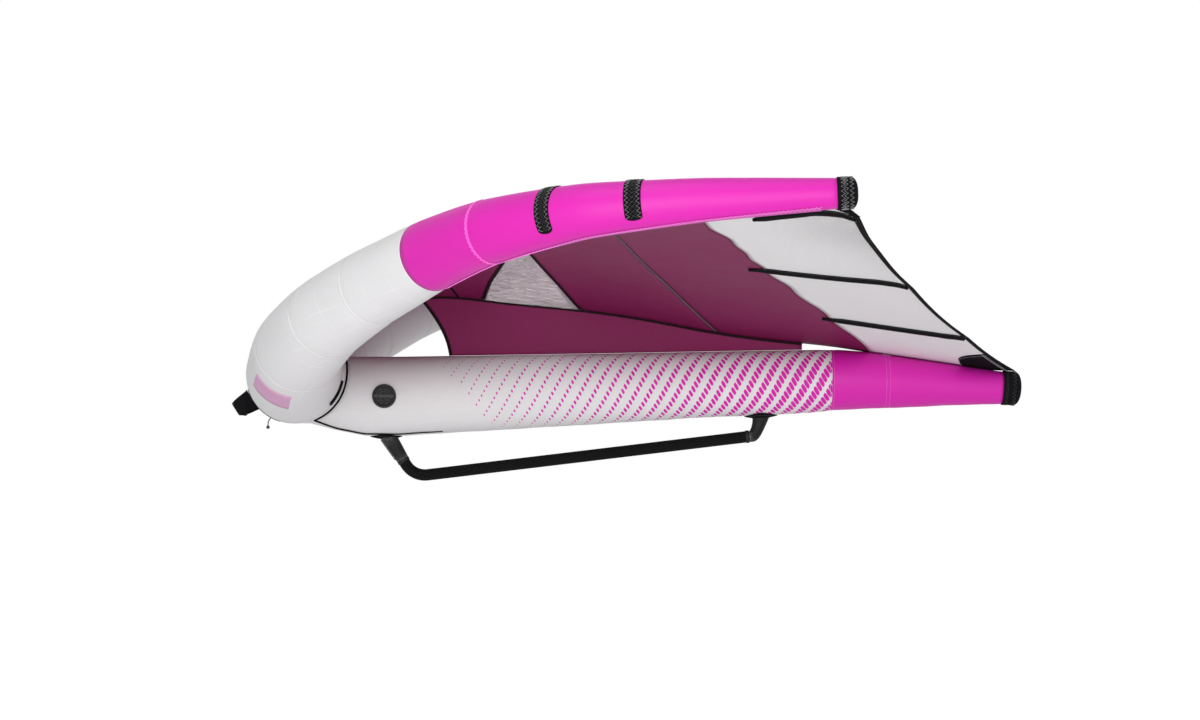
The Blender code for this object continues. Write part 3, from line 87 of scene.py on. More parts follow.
STRUT_RINGS = (                                  # share of the length, share of the diameter, height in diameters
    (0.000, 0.750, 0.100), (0.025, 0.858, 0.099), (0.057, 0.929, 0.064), (0.096, 1.000, 0.028),
    (0.141, 1.000, 0.028), (0.283, 0.943, 0.075), (0.425, 0.887, 0.123), (0.567, 0.830, 0.175),
    (0.709, 0.802, 0.212), (0.766, 0.760, 0.238), (0.804, 0.722, 0.233), (0.851, 0.646, 0.210),
    (0.937, 0.500, 0.170), (1.000, 0.401, 0.137),
)
CANOPY_ANGLES = ((0.0, 46), (0.5, 30), (0.85, 0), (1.0, -40))
CAMBER = (
    (0.302, 0.212), (0.402, 0.255), (0.477, 0.2715), (0.679, 0.260), (0.841, 0.244), (1.057, 0.216),
    (1.238, 0.182), (1.494, 0.1485), (1.583, 0.1385),
)
STRUT_SEAM_START = 1.672
TIP_CAP, STRUT_CAP = 0.041, 0.049
CENTER_LINE = (                                  # share and station of the canopy's middle seam
    (0.0, 0.227), (0.30, 0.345), (0.50, 0.520), (0.69, 0.881), (0.786, 1.239), (0.875, 1.669), (1.0, 2.068),
)
STRUT_SEAM_LIFT = -0.0004                        # the middle seam lies a little in the strut's cloth
CAP_CLIMB = (2.005, 0.03, 0.0036)                # where it climbs onto the strut's cap, over how much, and how high
CORNER_OFFSET = (0.046, 0.030, -0.054)           # canopy corner from the end of the arm: aft, inboard, up
BILLOW = 0.025
TE_HOLLOW = 0.14                                 # how far the trailing edge is drawn in half way, towards LAST_SEAM
LAST_SEAM, TAPE_FRONT = 0.875, 0.9944
FREE_SHARE = 0.966                               # where the canopy leaves the arm for its corner
ARM_SEAM_END = 0.986                             # the last place at which it is sewn to the arm
SCALLOP = 0.018                                  # how far the trailing edge is drawn in between the battens
SCALLOP_ENDS = (0.0, 0.017, 0.443, 0.775, 1.0)
# Seams between the canopy's panels, as (place across, share of the arm)
WINDOW_POINT = 0.3
WINDOW_FRONT = ((0.0, 0.638), (WINDOW_POINT, 0.638), (0.55, 0.6145), (0.80, 0.5925), (1.0, 0.580))
WINDOW_REAR = ((0.0, 0.638), (WINDOW_POINT, 0.638), (1.0, 0.696))
MIDDLE_REAR = ((0.0, 0.742), (1.0, 0.792))
FRONT_SEAM = ((0.80, 0.512), (1.0, 0.538))
PRINT_EDGE = (                                   # the waved border of the pale tip panel
    (0.0, 0.846), (0.09, 0.8515), (0.145, 0.849), (0.198, 0.8487), (0.26, 0.8562), (0.305, 0.8533), (0.35, 0.8575),
    (0.39, 0.8540), (0.437, 0.8597), (0.49, 0.8572), (0.563, 0.8640), (0.63, 0.8632), (0.723, 0.8712),
    (0.80, 0.8715), (0.878, 0.8760), (1.0, 0.8775),
)
CUT = 0.0001                                     # half the gap between two panels, as a share
SEAM_TAPES = (                                   # name, seam, first place across, half width and material
    ("window_front_tape", WINDOW_FRONT, WINDOW_POINT, 0.0050, "dark_tape"),
    ("window_rear_tape", WINDOW_REAR, WINDOW_POINT, 0.0040, "dark_tape"),
    ("middle_seam_tape", MIDDLE_REAR, 0.02, 0.0028, "seam_tape"),
    ("front_seam_tape", FRONT_SEAM, 0.80, 0.0030, "dark_tape"),
)
CORNER_EDGE = ((0.950, 0.980), (0.956, 0.945), (0.964, 0.925), (0.976, 0.905), (1.0, 0.885))
BATTENS = (                                      # name, then share of the arm and place across at each end
    ("outer_batten", (0.905, 0.085), (0.9955, 0.017)),
    ("middle_batten", (0.846, 0.463), (0.9955, 0.443)),
    ("inner_batten", (0.866, 0.778), (0.9955, 0.775)),
)
PANEL_FRONT_TOP, PANEL_FRONT_FOOT, PANEL_REAR = 0.461, 0.543, 1.494
PANEL_CURVE = ((0.0, 1.0), (0.39, 0.72), (0.73, 0.43), (0.93, 0.17), (1.0, 0.0))
BOOM_TOP, BOOM_CORNER, BOOM_END = (0.392, 0.0, -0.122), (0.447, 0.0, -0.210), (1.353, 0.0, -0.102)
BOOM_BEND, GRIP_RADIUS, SOCKET_DEPTH = 0.060, 0.0155, 0.048
HANDLE_ANGLE, HANDLE_HALF, HANDLE_HEIGHT, HANDLE_WIDTH, HANDLE_FOOT = 212, 0.088, 0.052, 0.052, 0.028
PATCH_SHARE, PATCH_ARC = 0.062, (198, 252)
VALVE_STATION, VALVE_HOLE = 0.373, 0.020
FRONT_SADDLE, REAR_SADDLE = (0.374, 0.042, 0.031), (1.383, 0.0440, 0.034)    # station, half length, half width
BRACKET_RINGS = (                                # front bracket: place, half sizes aft and sideways, squareness
    (0.0, 0.0215, 0.0250, 2.6), (0.25, 0.0205, 0.0240, 2.8), (0.5, 0.0195, 0.0225, 2.8),
    (0.75, 0.0182, 0.0200, 2.5), (0.93, 0.0172, 0.0180, 2.2), (1.0, 0.0168, 0.0170, 2.0),
)
BARE_SOLIDS = {                                  # the frame's own solids that stay, by material
    "aluminium": ("boom_tube",), "steel": ("boom_screw", "boom_pin", "valve_spring"), "film": ("transfer_hose",),
    "fitting": ("valve_guide", "valve_poppet"), "rubber": ("valve_seal",),
}
TAG_ROUTE = (
    (0.0637, 0.0130, -0.0477), (0.0616, 0.0130, -0.0511), (0.0601, 0.0127, -0.0534), (0.0587, 0.0119, -0.0556),
    (0.0575, 0.0105, -0.0577), (0.0566, 0.0087, -0.0597), (0.0560, 0.0065, -0.0614), (0.0557, 0.0041, -0.0629),
    (0.0556, 0.0015, -0.0641), (0.0557, -0.0011, -0.0651), (0.0558, -0.0036, -0.0661), (0.0559, -0.0058, -0.0675),
    (0.0559, -0.0072, -0.0694), (0.0559, -0.0077, -0.0717),
)


# Settings

def metres(name, description, default, low, high, precision=4):
    return FloatProperty(name=name, description=description, default=default, min=low, max=high, subtype="DISTANCE",
                         unit="LENGTH", precision=precision)


class WingColors(bpy.types.PropertyGroup):
    """Colours of the cloth and fittings"""

    def swatch(name, description, default):
        return FloatVectorProperty(name=name, description=description, subtype="COLOR", size=3, min=0.0, max=1.0,
                                   default=default)

    sleeve: swatch("Sleeve", "Pale cloth of the leading edge and the strut", (0.70, 0.69, 0.695))
    arm: swatch("Arm", "Bright cloth of the arms and the strut's tail", (0.62, 0.014, 0.375))
    canopy: swatch("Canopy", "Dark red canopy cloth", (0.195, 0.013, 0.078))
    tip: swatch("Tip", "Pale canopy cloth along the trailing edge", (0.80, 0.795, 0.795))
    window: swatch("Window", "Film of the canopy's window", (0.74, 0.72, 0.73))
    webbing: swatch("Webbing", "Black webbing and tape", (0.008, 0.008, 0.009))
    thread: swatch("Thread", "Grey thread on black webbing", (0.34, 0.33, 0.34))
    fitting: swatch("Fitting", "Moulded brackets of the boom", (0.014, 0.0135, 0.0145))


class WingCloth(bpy.types.PropertyGroup):
    """Thickness and relief of the cloth"""

    sleeve: metres("Sleeve Cloth", "Thickness of the inflated sleeves", 0.0008, 0.0002, 0.003)
    canopy: metres("Canopy Cloth", "Thickness of the canopy", 0.0006, 0.0002, 0.003)
    webbing: metres("Webbing", "Thickness of the scuff bands", 0.0015, 0.0005, 0.004)
    pinch: metres("Seam Pinch", "How deep a cross seam draws in the tube", 0.0016, 0.0, 0.006)
    pucker: metres("Pucker", "Height of the creases inside a bend", 0.0016, 0.0, 0.006)
    flutter: metres("Flutter", "Height of the canopy's folds", 0.0030, 0.0, 0.02)
    sides: IntProperty(name="Sides", description="Faces round a tube", default=96, min=24, max=192)


class WingStitching(bpy.types.PropertyGroup):
    """Sizes of the seams' stitches"""

    pitch: metres("Pitch", "From one stitch to the next", 0.0055, 0.002, 0.02)
    length: metres("Length", "Length of one stitch", 0.0038, 0.001, 0.015)
    thread: metres("Thread", "Thickness of the thread", 0.0012, 0.0003, 0.003)
    zigzag: metres("Zigzag Width", "Width of a zigzag seam", 0.0090, 0.002, 0.03)
    bold: FloatProperty(name="Bold Thread", description="How much thicker the thread of bold zigzags is", default=1.5,
                        min=1.0, max=4.0)


class WingStage(bpy.types.PropertyGroup):
    """Camera, floor and lamps"""

    lens: FloatProperty(name="Lens", description="Focal length on a 36 mm sensor, in millimetres", default=111.73,
                        min=10.0, max=500.0)
    floor: metres("Floor Drop", "How far the floor lies below the boom's grip", 1.05, 0.1, 5.0, precision=2)
    key: FloatProperty(name="Key Power", description="Power of the main lamp, in watts", default=250.0, min=0.0,
                       max=5000.0)
    sky: FloatProperty(name="Surround", description="Strength of the even light from all sides", default=0.50,
                       min=0.0, max=3.0)


# Curves

def cubic_through(knots, points, start_slope=None):
    """A smooth cubic curve through the points, clamped at its start to a slope if one is given."""
    knots = np.array(knots, float)
    points = np.array(points, float).reshape(len(knots), -1)
    steps = np.diff(knots)
    slopes = np.diff(points, axis=0) / steps[:, None]
    count = len(knots)
    system = np.eye(count)
    right = np.zeros_like(points)
    for i in range(1, count - 1):
        system[i, i - 1:i + 2] = steps[i - 1], 2 * (steps[i - 1] + steps[i]), steps[i]
        right[i] = 6 * (slopes[i] - slopes[i - 1])
    if start_slope is not None:
        system[0, :2] = 2 * steps[0], steps[0]
        right[0] = 6 * (slopes[0] - np.array(start_slope))
    bends = np.linalg.solve(system, right)

    def curve(values):
        values = np.asarray(values, float)
        flat = values.ravel()
        i = np.clip(np.searchsorted(knots, flat) - 1, 0, count - 2)
        h, a, b = steps[i][:, None], (knots[i + 1] - flat)[:, None], (flat - knots[i])[:, None]
        out = (bends[i] * a**3 / (6 * h) + bends[i + 1] * b**3 / (6 * h)
               + (points[i] / h - bends[i] * h / 6) * a + (points[i + 1] / h - bends[i + 1] * h / 6) * b)
        return out.reshape(values.shape + (points.shape[1],))
    return curve


def unit(vectors):
    return vectors / np.maximum(np.linalg.norm(vectors, axis=-1, keepdims=True), 1e-12)


def table_at(where, knots, rows):
    """Straight interpolation of rows of vectors."""
    return np.stack([np.interp(where, knots, rows[:, k]) for k in range(rows.shape[1])], -1)


def reach_along(points):
    """How far each point lies from the first, along the line through the points."""
    return np.concatenate([[0], np.cumsum(np.linalg.norm(np.diff(points, axis=0), axis=-1))])


def flat_map(rows, cols):
    """A UV map from the distances of the rows and of the columns."""
    return np.stack(np.meshgrid(rows, cols, indexing="ij"), -1)


def softened(values, width):
    """A row of values with its corners rounded over a number of samples."""
    window = np.hanning(width + 2)[1:-1]
    window /= window.sum()
    half = width // 2
    head = 2 * values[0] - values[half:0:-1]
    tail = 2 * values[-1] - values[-2:-half - 2:-1]
    return np.convolve(np.concatenate([head, values, tail]), window, "valid")[:len(values)]


def bump(distance, width):
    return np.exp(-(distance / width) ** 2)


class Edge:
    """The inflated leading edge. A share runs from 0 at the nose to 1 at the left tip, and is negative on the right."""

    def __init__(self, cloth, seams, pinch, pucker):
        control = np.array([(NOSE_RADIUS + SWEEP * x, -HALF_SPAN * y, EDGE_HEIGHT + TIP_RISE * z)
                            for x, y, z in zip(EDGE_SWEEP, EDGE_SPAN, EDGE_RISE)])
        reach = reach_along(control)
        self.length = reach[-1]
        curve = cubic_through(reach / reach[-1], control, start_slope=(0.0, -reach[-1], 0.0))
        share = np.linspace(0.0, 1.0, 2001)
        left = curve(share)
        ends = np.array((0.0, *seams, *EDGE_FACETS, 1.0))
        flat = table_at(share, ends, curve(ends)) - left
        flat = np.stack([softened(flat[:, k], 61) for k in range(3)], -1)
        left = left + EDGE_FLATNESS * flat + table_at(share, EDGE_TRIM[0], np.array(EDGE_TRIM[1]))
        along = unit(np.gradient(left, share, axis=0))
        along[0] = (0.0, -1.0, 0.0)
        side = unit(np.cross((0.0, 0.0, 1.0), along))
        rise = np.cross(along, side)
        radius = (2 * NOSE_RADIUS * (1 - share) * (1 - 2 * share) + 2 * ARM_RADIUS * 4 * share * (1 - share)
                  + 2 * TIP_RADIUS * share * (2 * share - 1)) / 2
        self.share, self.left, self.along, self.side, self.rise, self.radius = share, left, along, side, rise, radius
        self.cloth, self.seams, self.pinch, self.pucker = cloth, seams, pinch, pucker

    def at(self, share, rows):
        share = np.asarray(share, float)
        found = table_at(np.abs(share), self.share, rows)
        found[..., 1] = np.where(share < 0, -found[..., 1], found[..., 1])
        return found

    def relief(self, share, angle):
        """How far cross seams and creases move the cloth in or out."""
        share, angle = np.abs(share), np.radians(angle)
        out = np.zeros(np.broadcast(share, angle).shape)
        for seam in self.seams:
            gap = (share - seam) * self.length
            out = out - self.pinch * bump(gap, PINCH_REACH) + 0.0009 * bump(gap, SEAM_REACH)
        inside = np.clip(np.cos(angle - 0.1), 0, 1) ** 2
        for place, width, wave in EDGE_CREASES:
            ripple = np.sin((share - place) * self.length * wave + 1.3 * np.sin(3 * angle + place * 40))
            out = out + self.pucker * inside * bump(share - place, width) * ripple * 0.5
        return out

    def out(self, share, angle):
        turn = np.radians(np.asarray(angle, float))[..., None]
        share = np.broadcast_to(share, np.broadcast(share, angle).shape)
        return self.at(share, self.side) * np.cos(turn) + self.at(share, self.rise) * np.sin(turn)

    def skin(self, share, angle, lift=0.0):
        share, angle = np.broadcast_arrays(np.asarray(share, float), np.asarray(angle, float))
        radius = np.interp(np.abs(share), self.share, self.radius) + self.cloth + lift + self.relief(share, angle)
        return self.at(share, self.left) + self.out(share, angle) * radius[..., None]

    def axis_near(self, point):
        """The point of the tube's axis that lies as far out as this one."""
        share = np.interp(abs(point[1]), -self.left[:, 1], self.share)
        near = table_at(np.array(share), self.share, self.left)
        return near[0], math.copysign(near[1], point[1]) if point[1] else 0.0, near[2]

    def sheet(self, name, share, angle, lift, map_radius, map_start=0.0):
        """A sheet on the cloth at these shares and angles, mapped in metres with the angles at a radius."""
        share, angle = np.broadcast_arrays(share, angle)
        uv = np.stack([(share - map_start) * self.length, np.radians(angle) * map_radius], -1)
        return face_out(grid(name, self.skin(share, angle, lift), uv), inside=self.axis_near)

    def depth(self, points):
        """How far outside the cloth these points near the nose lie, measured across the tube."""
        share = np.interp(np.abs(points[..., 1]), -self.left[:, 1], self.share)
        center = table_at(share, self.share, self.left)
        radius = np.interp(share, self.share, self.radius) + self.cloth
        return np.hypot(points[..., 0] - center[..., 0], points[..., 2] - center[..., 2]) - radius


class Strut:
    """The inflated strut on the centre plane. Angles: 0 faces right, 90 up, 180 left and 270 down."""

    def __init__(self, cloth, pinch):
        stations = np.array([STRUT_START + STRUT_LENGTH * row[0] for row in STRUT_RINGS])
        self.x = np.linspace(stations[0], stations[-1], 1901)
        self.radius = softened(np.interp(self.x, stations, [row[1] * STRUT_DIAMETER / 2 for row in STRUT_RINGS]), 61)
        self.height = softened(np.interp(self.x, stations, [row[2] * STRUT_DIAMETER for row in STRUT_RINGS]), 61)
        self.cloth, self.pinch = cloth, pinch

    def relief(self, x, angle):
        out = np.zeros(np.broadcast(x, angle).shape)
        for seam in (STRUT_BREAK, STRUT_TAIL_SEAM):
            out = out - self.pinch * 0.8 * bump(x - seam, 0.012) + 0.0008 * bump(x - seam, SEAM_REACH)
        under = bump((np.asarray(angle) % 360 - 270) / 70.0, 1.0)
        ripple = np.sin(x * 46 + 2 * np.sin(np.radians(angle) * 2)) * np.sin(x * 17 + 1.1)
        return out + 0.0006 * under * ripple

    def out(self, x, angle):
        turn = np.radians(np.asarray(angle, float))
        zero = np.zeros(np.broadcast(x, angle).shape)
        return np.stack([zero, np.cos(turn) + zero, np.sin(turn) + zero], -1)

    def skin(self, x, angle, lift=0.0):
        x, angle = np.broadcast_arrays(np.asarray(x, float), np.asarray(angle, float))
        radius = np.interp(x, self.x, self.radius) + self.cloth + lift + self.relief(x, angle)
        return self.middle(x) + self.out(x, angle) * radius[..., None]

    def middle(self, x):
        return np.stack([x, np.zeros_like(x), np.interp(x, self.x, self.height)], -1)

    def top(self, x, lift=0.0):
        return np.interp(x, self.x, self.height) + np.interp(x, self.x, self.radius) + self.cloth + lift

    def junction(self, angle, edge, lift=0.0):
        """Station at which the strut's skin leaves the leading edge, at each angle."""
        angle = np.asarray(angle, float)
        low, high = np.full(angle.shape, 0.15), np.full(angle.shape, 0.33)
        for _ in range(34):
            middle = (low + high) / 2
            outside = edge.depth(self.skin(middle, angle, lift)) > lift
            low, high = np.where(outside, low, middle), np.where(outside, middle, high)
        return high


def canopy_angle(share):
    """The angle round the leading edge at which the canopy is sewn on."""
    return np.interp(share, *zip(*CANOPY_ANGLES))


class Canopy:
    """The left half of the canopy. share picks a spanwise line, across is 0 at the leading edge, 1 at the centre."""

    def __init__(self, edge, strut, flutter):
        self.edge, self.strut, self.flutter = edge, strut, flutter
        self.corner = edge.left[-1] + np.array(CORNER_OFFSET)
        root = edge.skin(0.0, CANOPY_ANGLES[0][1], 0.0010)
        aft = np.arange(STRUT_SEAM_START, STRUT_START + STRUT_LENGTH, 0.02)
        x = [root[0], *[c[0] for c in CAMBER], *aft]
        z = [root[2], *[c[1] for c in CAMBER], *strut.top(aft, STRUT_SEAM_LIFT)]
        self.camber = cubic_through(x, z)
        shares, stations = zip(*CENTER_LINE)
        self.seam = cubic_through(shares, [root[0], *stations[1:]])

    def outer(self, share):
        along = self.edge.skin(np.minimum(share, ARM_SEAM_END), canopy_angle(share), 0.0012)
        end = np.clip((share - FREE_SHARE) / (1 - FREE_SHARE), 0, 1)[..., None] ** 1.6
        return along * (1 - end) + self.corner * end

    def center(self, share):
        x = self.seam(share)[..., 0]
        on_cap = np.clip((x - CAP_CLIMB[0]) / CAP_CLIMB[1], 0, 1)
        lift = STRUT_SEAM_LIFT + CAP_CLIMB[2] * on_cap
        z = np.where(x < STRUT_SEAM_START, self.camber(x)[..., 0], self.strut.top(x, lift))
        return np.stack([x, np.full_like(x, -0.0003), z], -1)

    def fold(self, share, across):
        """Soft folds of the tensioned cloth, none at its sewn sides."""
        calm = np.clip(across / 0.10, 0, 1) * np.clip((1 - across) / 0.06, 0, 1)
        near_edge = bump(across, 0.16) * np.sin(share * 150 + 2.0 * np.sin(share * 37))
        fan = np.sin(across * 21 + share * 9) * bump(share - 0.99, 0.16) * bump(across - 0.12, 0.22)
        drape = np.sin(share * 19 + across * 7) * np.sin(across * 9 - share * 5)
        return self.flutter * calm * (0.45 * near_edge + 0.9 * fan + 0.5 * drape)

    def straight(self, share, across):
        share, across = np.broadcast_arrays(np.asarray(share, float), np.asarray(across, float))
        bow = BILLOW * 4 * across * (1 - across) * np.sin(np.pi * np.minimum(share, 1.0)) ** 0.7
        v = across[..., None]
        sheet = self.outer(share) * (1 - v) + self.center(share) * v
        sheet[..., 2] += bow
        return sheet

    def point(self, share, across):
        """A point of the cloth, drawn in towards its hollow trailing edge."""
        share, across = np.broadcast_arrays(np.asarray(share, float), np.asarray(across, float))
        scallop = SCALLOP * np.abs(np.sin(np.pi * np.interp(across, SCALLOP_ENDS, (0, 0, 1, 2, 3))))
        inward = np.where(share > LAST_SEAM, TE_HOLLOW * 4 * across * (1 - across) + scallop, 0.0)[..., None]
        sheet = self.straight(share, across) * (1 - inward) + self.straight(LAST_SEAM + 0 * share, across) * inward
        sheet[..., 2] += self.fold(share, across)
        return sheet

    def down(self, share, across):
        """The direction out of the canopy's underside."""
        step = 0.002
        a = self.point(share + step, across) - self.point(share - step, across)
        b = self.point(share, across + step) - self.point(share, across - step)
        normal = unit(np.cross(a, b))
        return np.where(normal[..., 2:] > 0, -normal, normal)


# Meshes

def grid(name, points, uv=None, wrap=False):
    """Quads between rows and columns of points, with a UV map in metres."""
    rows, cols = points.shape[:2]
    i = np.arange(rows - 1)[:, None]
    j = np.arange(cols if wrap else cols - 1)[None, :]
    k = (j + 1) % cols
    faces = np.stack([i * cols + j, i * cols + k, (i + 1) * cols + k, (i + 1) * cols + j], -1).reshape(-1, 4)
    mesh = bpy.data.meshes.new(name)
    mesh.from_pydata(points.reshape(-1, 3).tolist(), [], faces.tolist())
    if uv is not None:
        k = j + 1
        i, j, k = np.broadcast_arrays(i, j, k)
        corners = np.stack([uv[i, j], uv[i, k], uv[i + 1, k], uv[i + 1, j]], -2).reshape(-1, 2)
        mesh.uv_layers.new(name="cloth").data.foreach_set("uv", corners.astype(np.float32).ravel())
    return mesh


FACES_TRIED = 800


def face_out(mesh, inside=None, toward=None):
    """Turns the faces away from a point inside, or from the one that a function names, or towards a direction."""
    total = 0.0
    for index in range(0, len(mesh.polygons), max(1, len(mesh.polygons) // FACES_TRIED)):
        face = mesh.polygons[index]
        if toward is not None:
            look = Vector(toward)
        else:
            look = face.center - Vector(inside(np.array(face.center)) if callable(inside) else inside)
        total += face.normal.dot(look) * face.area
    if total < 0:
        mesh.flip_normals()
    return mesh


@contextmanager
def editing(mesh, *sources):
    """A bmesh of the sources, or else of the mesh, that is written to the mesh at the end."""
    shape = bmesh.new()
    for source in sources or (mesh,):
        shape.from_mesh(source)
    yield shape
    shape.to_mesh(mesh)
    shape.free()


def welded(mesh, distance=0.00002):
    with editing(mesh) as shape:
        bmesh.ops.remove_doubles(shape, verts=shape.verts, dist=distance)
        bmesh.ops.dissolve_degenerate(shape, edges=shape.edges, dist=distance)
    return mesh


def closed(mesh, sides):
    """Fills the mesh's open ends of this many sides and turns its faces outwards."""
    with editing(mesh) as shape:
        holes = [edge for edge in shape.edges if edge.is_boundary]
        if holes:
            bmesh.ops.holes_fill(shape, edges=holes, sides=sides + 1)
        bmesh.ops.recalc_face_normals(shape, faces=shape.faces)
    return mesh


def turned(name, outline, sides=64):
    """A profile of (along, radius) points turned about +X, closed at the axis or in itself."""
    angle = np.linspace(0, 2 * np.pi, sides, endpoint=False)
    outline = np.array(outline, float)
    x, radius = np.repeat(outline[:, :1], sides, 1), outline[:, 1:]
    rings = np.stack([x, radius * np.cos(angle), radius * np.sin(angle)], -1)
    return closed(welded(grid(name, rings, wrap=True), 0.000005), sides)


def aimed(mesh, place, along, up=UP):
    along = Vector(along).normalized()
    side = Vector(up).cross(along).normalized()
    turn = Matrix((along, side, along.cross(side))).transposed().to_4x4()
    mesh.transform(Matrix.Translation(Vector(place)) @ turn)
    return mesh


def rounded(profile, radius, steps=3):
    """A profile of points whose inner corners are rounded."""
    out = [np.array(profile[0], float)]
    for before, here, after in zip(profile, profile[1:], profile[2:]):
        before, here, after = (np.array(p, float) for p in (before, here, after))
        a, b = before - here, after - here
        reach = min(radius, 0.45 * np.linalg.norm(a), 0.45 * np.linalg.norm(b))
        start, end = here + unit(a) * reach, here + unit(b) * reach
        for k in range(steps + 1):
            t = k / steps
            out.append(start * (1 - t) ** 2 + here * 2 * t * (1 - t) + end * t * t)
    return out + [np.array(profile[-1], float)]


def tube(name, points, radii, sides):
    """A closed tube along points, its section kept upright."""
    points = np.array(points, float)
    radii = np.broadcast_to(np.array(radii, float), (len(points),))
    along = unit(np.gradient(points, axis=0))
    guide = np.array((0.0, 1.0, 0.0)) if abs(along[:, 1]).max() < 0.9 else np.array((0.0, 0.0, 1.0))
    side = unit(np.cross(np.cross(along, guide), along))
    rise = np.cross(along, side)
    angle = np.linspace(0, 2 * np.pi, sides, endpoint=False)[None, :, None]
    ring = side[:, None] * np.cos(angle) + rise[:, None] * np.sin(angle)
    rings = points[:, None] + ring * radii[:, None, None]
    around = np.linspace(0, 2 * np.pi, sides + 1) * radii.mean()
    return closed(grid(name, rings, flat_map(reach_along(points), around), wrap=True), sides)


def joined(name, meshes):
    out = bpy.data.meshes.new(name)
    with editing(out, *meshes):
        return out


def mirrored(mesh, name):
    twin = mesh.copy()
    twin.name = name
    twin.transform(Matrix.Scale(-1.0, 4, Vector((0.0, 1.0, 0.0))))
    twin.flip_normals()
    return twin


def declare_sheet(points):
    """Tells the frame what a flat-cut panel measures, by the least rectangle round it."""
    cloud = points.reshape(-1, 3) - points.reshape(-1, 3).mean(0)
    plan = cloud @ np.linalg.svd(cloud, full_matrices=False)[2][:2].T
    best = None
    for turn in np.radians(np.arange(0, 90, 2)):
        size = np.ptp(plan @ np.array(((math.cos(turn), -math.sin(turn)), (math.sin(turn), math.cos(turn)))), axis=0)
        if best is None or size.prod() < best.prod():
            best = size


# Materials

class Graph:
    """Adds nodes to a node tree, from values or from other nodes' outputs."""

    def __init__(self, tree):
        self.tree = tree

    def put(self, socket, value):
        if isinstance(value, bpy.types.NodeSocket):
            self.tree.links.new(value, socket)
        elif value is not None:
            if hasattr(socket.default_value, "__len__") and not hasattr(value, "__len__"):
                value = [value] * len(socket.default_value)
            if hasattr(value, "__len__") and len(socket.default_value) == 4 and len(value) == 3:
                value = (*value, 1.0)
            socket.default_value = value

    def node(self, kind, inputs=(), **settings):
        made = self.tree.nodes.new(kind)
        for key, value in settings.items():
            setattr(made, key, value)
        for key, value in dict(inputs).items():
            self.put(made.inputs[key], value)
        return made

    def math(self, operation, *values):
        return self.node("ShaderNodeMath", enumerate(values), operation=operation).outputs[0]

    def add(self, a, b):
        return self.math("ADD", a, b)

    def sub(self, a, b):
        return self.math("SUBTRACT", a, b)

    def mul(self, a, b):
        return self.math("MULTIPLY", a, b)

    def div(self, a, b):
        return self.math("DIVIDE", a, b)

    def off_middle(self, value, pitch):
        """Where a value lies in its repeat, from -0.5 to 0.5."""
        return self.sub(self.math("FRACT", self.div(value, pitch)), 0.5)

    def mix(self, factor, a, b, blend="MIX"):
        """A blend of two colours."""
        inputs = ((0, factor), (6, a), (7, b))
        return self.node("ShaderNodeMix", inputs, data_type="RGBA", blend_type=blend).outputs[2]

    def spread(self, *range_values):
        """A value moved smoothly from one range (low, high) to another, or to 0 and 1."""
        return self.node("ShaderNodeMapRange", enumerate(range_values), interpolation_type="SMOOTHSTEP").outputs[0]

    def scaled(self, vector, factor):
        return self.node("ShaderNodeVectorMath", {0: vector, "Scale": factor}, operation="SCALE").outputs[0]

    def noise(self, vector, scale, detail=3.0, rough=0.5, distortion=0.0):
        return self.node("ShaderNodeTexNoise", {"Vector": vector, "Scale": scale, "Detail": detail,
                                                "Roughness": rough, "Distortion": distortion}).outputs[0]

    def parts(self, vector):
        return self.node("ShaderNodeSeparateXYZ", {"Vector": vector}).outputs[:2]


def node_group(name, inputs, outputs, fill):
    """A shader node group on a vector and named inputs, built once. An input without a value is a colour."""
    found = bpy.data.node_groups.get(name)
    if found:
        return found
    tree = bpy.data.node_groups.new(name, "ShaderNodeTree")
    tree.interface.new_socket("Vector", in_out="INPUT", socket_type="NodeSocketVector")
    for label, value in inputs.items():
        kind = "Color" if value is None else "Vector" if hasattr(value, "__len__") else "Float"
        socket = tree.interface.new_socket(label, in_out="INPUT", socket_type="NodeSocket" + kind)
        if value is not None:
            socket.default_value = value
    for label in outputs:
        kind = "Color" if label == "Color" else "Float"
        tree.interface.new_socket(label, in_out="OUTPUT", socket_type="NodeSocket" + kind)
    graph = Graph(tree)
    given = tree.nodes.new("NodeGroupInput").outputs
    result = tree.nodes.new("NodeGroupOutput").inputs
    for label, value in zip(outputs, fill(graph, given)):
        graph.put(result[label], value)
    return tree


def woven_cloth():
    """Plain weave with a coarser ripstop grid, as a height."""
    def fill(g, given):
        x, y = g.parts(given["Vector"])
        turn = g.div(2 * math.pi, given["Thread Pitch"])
        warp, weft = (g.math("SINE", g.mul(axis, turn)) for axis in (x, y))
        threads = g.math("MULTIPLY_ADD", g.mul(warp, weft), 0.5, 0.5)
        off = [g.math("ABSOLUTE", g.off_middle(axis, given["Grid Pitch"])) for axis in (x, y)]
        ribs = g.math("MAXIMUM", *[g.spread(distance, 0.0, 0.09, 1.0, 0.0) for distance in off])
        return [g.math("MULTIPLY_ADD", ribs, given["Grid Depth"], g.mul(threads, 0.3))]
    return node_group("Woven Cloth", {"Thread Pitch": 0.0012, "Grid Pitch": 0.006, "Grid Depth": 0.5}, ["Height"], fill)


